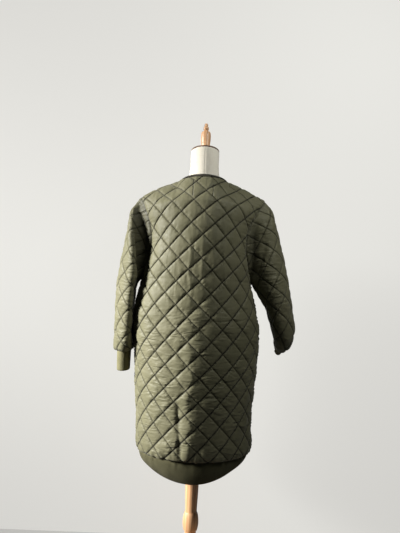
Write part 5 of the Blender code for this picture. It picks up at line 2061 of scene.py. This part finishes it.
# ---------- the whole coat
@dataclass
class QuiltedCoat:
    """The coat: quilted panels, lining, ribs, neck tape, placket and snaps.

    Attributes:
        filling: The wadding in its panels.
    """

    filling: Filling = Filling()

    def cloths(self) -> dict[str, Cloth]:
        """Each panel as it lies on the form, with its main folds."""
        hem = Gather(2, 0.031, 0.0026, 0.030, 0.9, 0.0016)
        arm_left, arm_right = Gather(1, 0.014, 0.0017, 0.018, 0.3), Gather(0, 0.015, 0.0021, 0.026, 1.9)
        cuff = Gather(3, 0.027, 0.0034, 0.036, 0.5, 0.004)
        top = Gather(2, 0.030, 0.0014, 0.022, 2.2)
        return {
            "back": Cloth(BodySurface(Face.BACK), 0.0, [
                Fold((0.16, 2.6), (0.15, 1.8), 0.009, -0.0060),
                Fold((0.15, 1.7), (0.13, 0.9), 0.009, -0.0065),
                Fold((0.055, 5.0), (0.042, 0.6), 0.050, 0.0075, 0.030),
                Fold((0.055, 4.6), (0.045, 1.0), 0.014, 0.0030, 0.024),
                Fold((0.133, 9.2), (0.042, 6.0), 0.007, 0.0022, 0.012),
                Fold((-0.058, 9.2), (-0.083, 6.1), 0.0076, 0.0024, 0.010),
                Fold((-0.217, 8.8), (-0.192, 6.2), 0.0085, 0.0024, 0.012),
                Fold((-0.408, 9.2), (-0.308, 6.2), 0.0094, 0.0022, 0.010),
            ], [hem, arm_left, arm_right]),
            "front_left": Cloth(BodySurface(Face.FRONT, 0, 1), 0.0, [], [hem, arm_left]),
            "front_right": Cloth(BodySurface(Face.FRONT, -1, 0), 0.0, [], [hem, arm_right]),
            "sleeve_left": Cloth(SleeveSurface(1), 0.0, [
                Fold((0.30, 0.42), (2.38, 0.50), 0.030, -0.0230),
                Fold((0.25, 1.35), (1.95, 3.1), 0.017, 0.0120),
                Fold((2.0, 3.0), (2.15, 8.4), 0.018, 0.0080),
            ], [cuff, top]),
            "sleeve_right": Cloth(SleeveSurface(-1), 0.0, [
                Fold((1.10, 0.20), (2.5, 0.55), 0.018, -0.0140),
            ], [cuff, top]),
        }

    def panels(self, cloths: dict[str, Cloth]) -> list[QuiltPanel]:
        """The five quilted shells."""
        return [
            QuiltPanel("quilt_back", "back", cloths["back"], Lattice(-0.0125, 0.8431), 18,
                       (0.63, 1.0), 0.545),
            QuiltPanel("quilt_front_left", "front_left", cloths["front_left"], Lattice(0.039, 0.80), 14,
                       (0.32, 0.97), 0.255, 0.062),
            QuiltPanel("quilt_front_right", "front_right", cloths["front_right"], Lattice(-0.039, 0.80), 14,
                       (0.32, 0.97), 0.245, 0.062),
            QuiltPanel("quilt_sleeve_left", "sleeve_left", cloths["sleeve_left"], Lattice(0.0, 0.04), 16,
                       (0.42, 0.57), 0.18),
            QuiltPanel("quilt_sleeve_right", "sleeve_right", cloths["sleeve_right"], Lattice(0.0, 0.04), 16,
                       (0.42, 0.57), 0.18),
        ]

    def build(self) -> None:
        """Make and dress every piece of the coat."""
        cloths = self.cloths()
        panels = self.panels(cloths)
        for panel in panels:
            panel.build((Finish.SLEEVE if "sleeve" in panel.node else Finish.SATIN).get())
        self.filling.swell(panels)
        for panel in panels:
            carry(panel.obj, "olive_satin", panel.node)
        lining = Lining().build("lining", list(cloths.values()), Finish.LINING.get())
        carry(lining, "olive_satin")
        bands = [
            RibBand("rib_hem", "hem_rib", hem_rib_points, 4.0, False, (0, 0), (1.22, 0.14), draw=0.0015),
            RibBand("rib_cuff_left", "cuff_left", cuff_form(1), 1.0, True, (0.262, -0.006), (0.25, 0.136)),
            RibBand("rib_cuff_right", "cuff_right", cuff_form(-1), 1.0, True, (-0.3045, 0), (0.25, 0.136)),
        ]
        for band in bands:
            made = band.build((Finish.LIT_CUFF if band.closed else Finish.RIB).get())
        NeckTape().build(Finish.TAPE.get())
        Placket().build(Finish.BAND.get(), Finish.BRASS.get())


@dataclass
class FormAndStand:
    """The dress form on its turned stand.

    Attributes:
        finial, pole, base: Profiles of the turned pieces, radius and height down the outer side.
    """

    finial: Sequence[Pair] = (
        (0.0, 0.105), (0.004, 0.1035), (0.0068, 0.099), (0.006, 0.0935), (0.0086, 0.09),
        (0.0098, 0.0845), (0.0088, 0.0795), (0.0066, 0.076), (0.008, 0.0725), (0.015, 0.069),
        (0.0172, 0.061), (0.0176, 0.05), (0.017, 0.036), (0.0155, 0.022), (0.0142, 0.0),
        (0.0, 0.0))
    pole: Sequence[Pair] = (
        (0.0, 0.7597), (0.024, 0.7597), (0.024, 0.42), (0.0236, 0.3), (0.0222, 0.25),
        (0.0207, 0.208), (0.0228, 0.203), (0.0262, 0.19), (0.028, 0.172), (0.0272, 0.156),
        (0.0244, 0.142), (0.0205, 0.134), (0.0205, 0.108), (0.024, 0.09), (0.03, 0.074),
        (0.036, 0.056), (0.042, 0.0453), (0.0, 0.0453))
    base: Sequence[Pair] = (
        (0.0, 0.045), (0.048, 0.045), (0.056, 0.0425), (0.06, 0.037), (0.072, 0.032),
        (0.15, 0.027), (0.172, 0.023), (0.179, 0.015), (0.178, 0.004), (0.174, 0.0),
        (0.0, 0.0))

    def build(self) -> None:
        """Make and dress the form and the stand."""
        form = DressForm()
        for piece in form.build(Finish.LINEN.get(), Finish.CORD.get()):
            log.info("%s: %d faces", piece.name, len(piece.data.polygons))
        wood = Finish.WOOD.get()
        top = form.top_z + SEAM_GAP + NECK_CAP_TALL + SEAM_GAP
        TurnedPiece("turned_finial", "finial", self.finial, (0, 0, top), math.atan(form.slant)).build(wood)
        TurnedPiece("turned_pole", "pole", self.pole).build(wood)
        TurnedPiece("turned_base", "base", self.base).build(wood)


def corners(box: tuple[Vector, Vector]) -> list[list[float]]:
    """A box as plain lists."""
    return [[float(v) for v in corner] for corner in box]


def main() -> None:
    """Build the scene piece by piece."""
    logging.basicConfig(level=logging.INFO, format="%(name)s: %(message)s")
    Studio().build()
    FormAndStand().build()
    QuiltedCoat().build()
    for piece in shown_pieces():
        log.info("%s: %d faces", piece.name, len(piece.data.polygons))


if __name__ == "__main__":
    main()
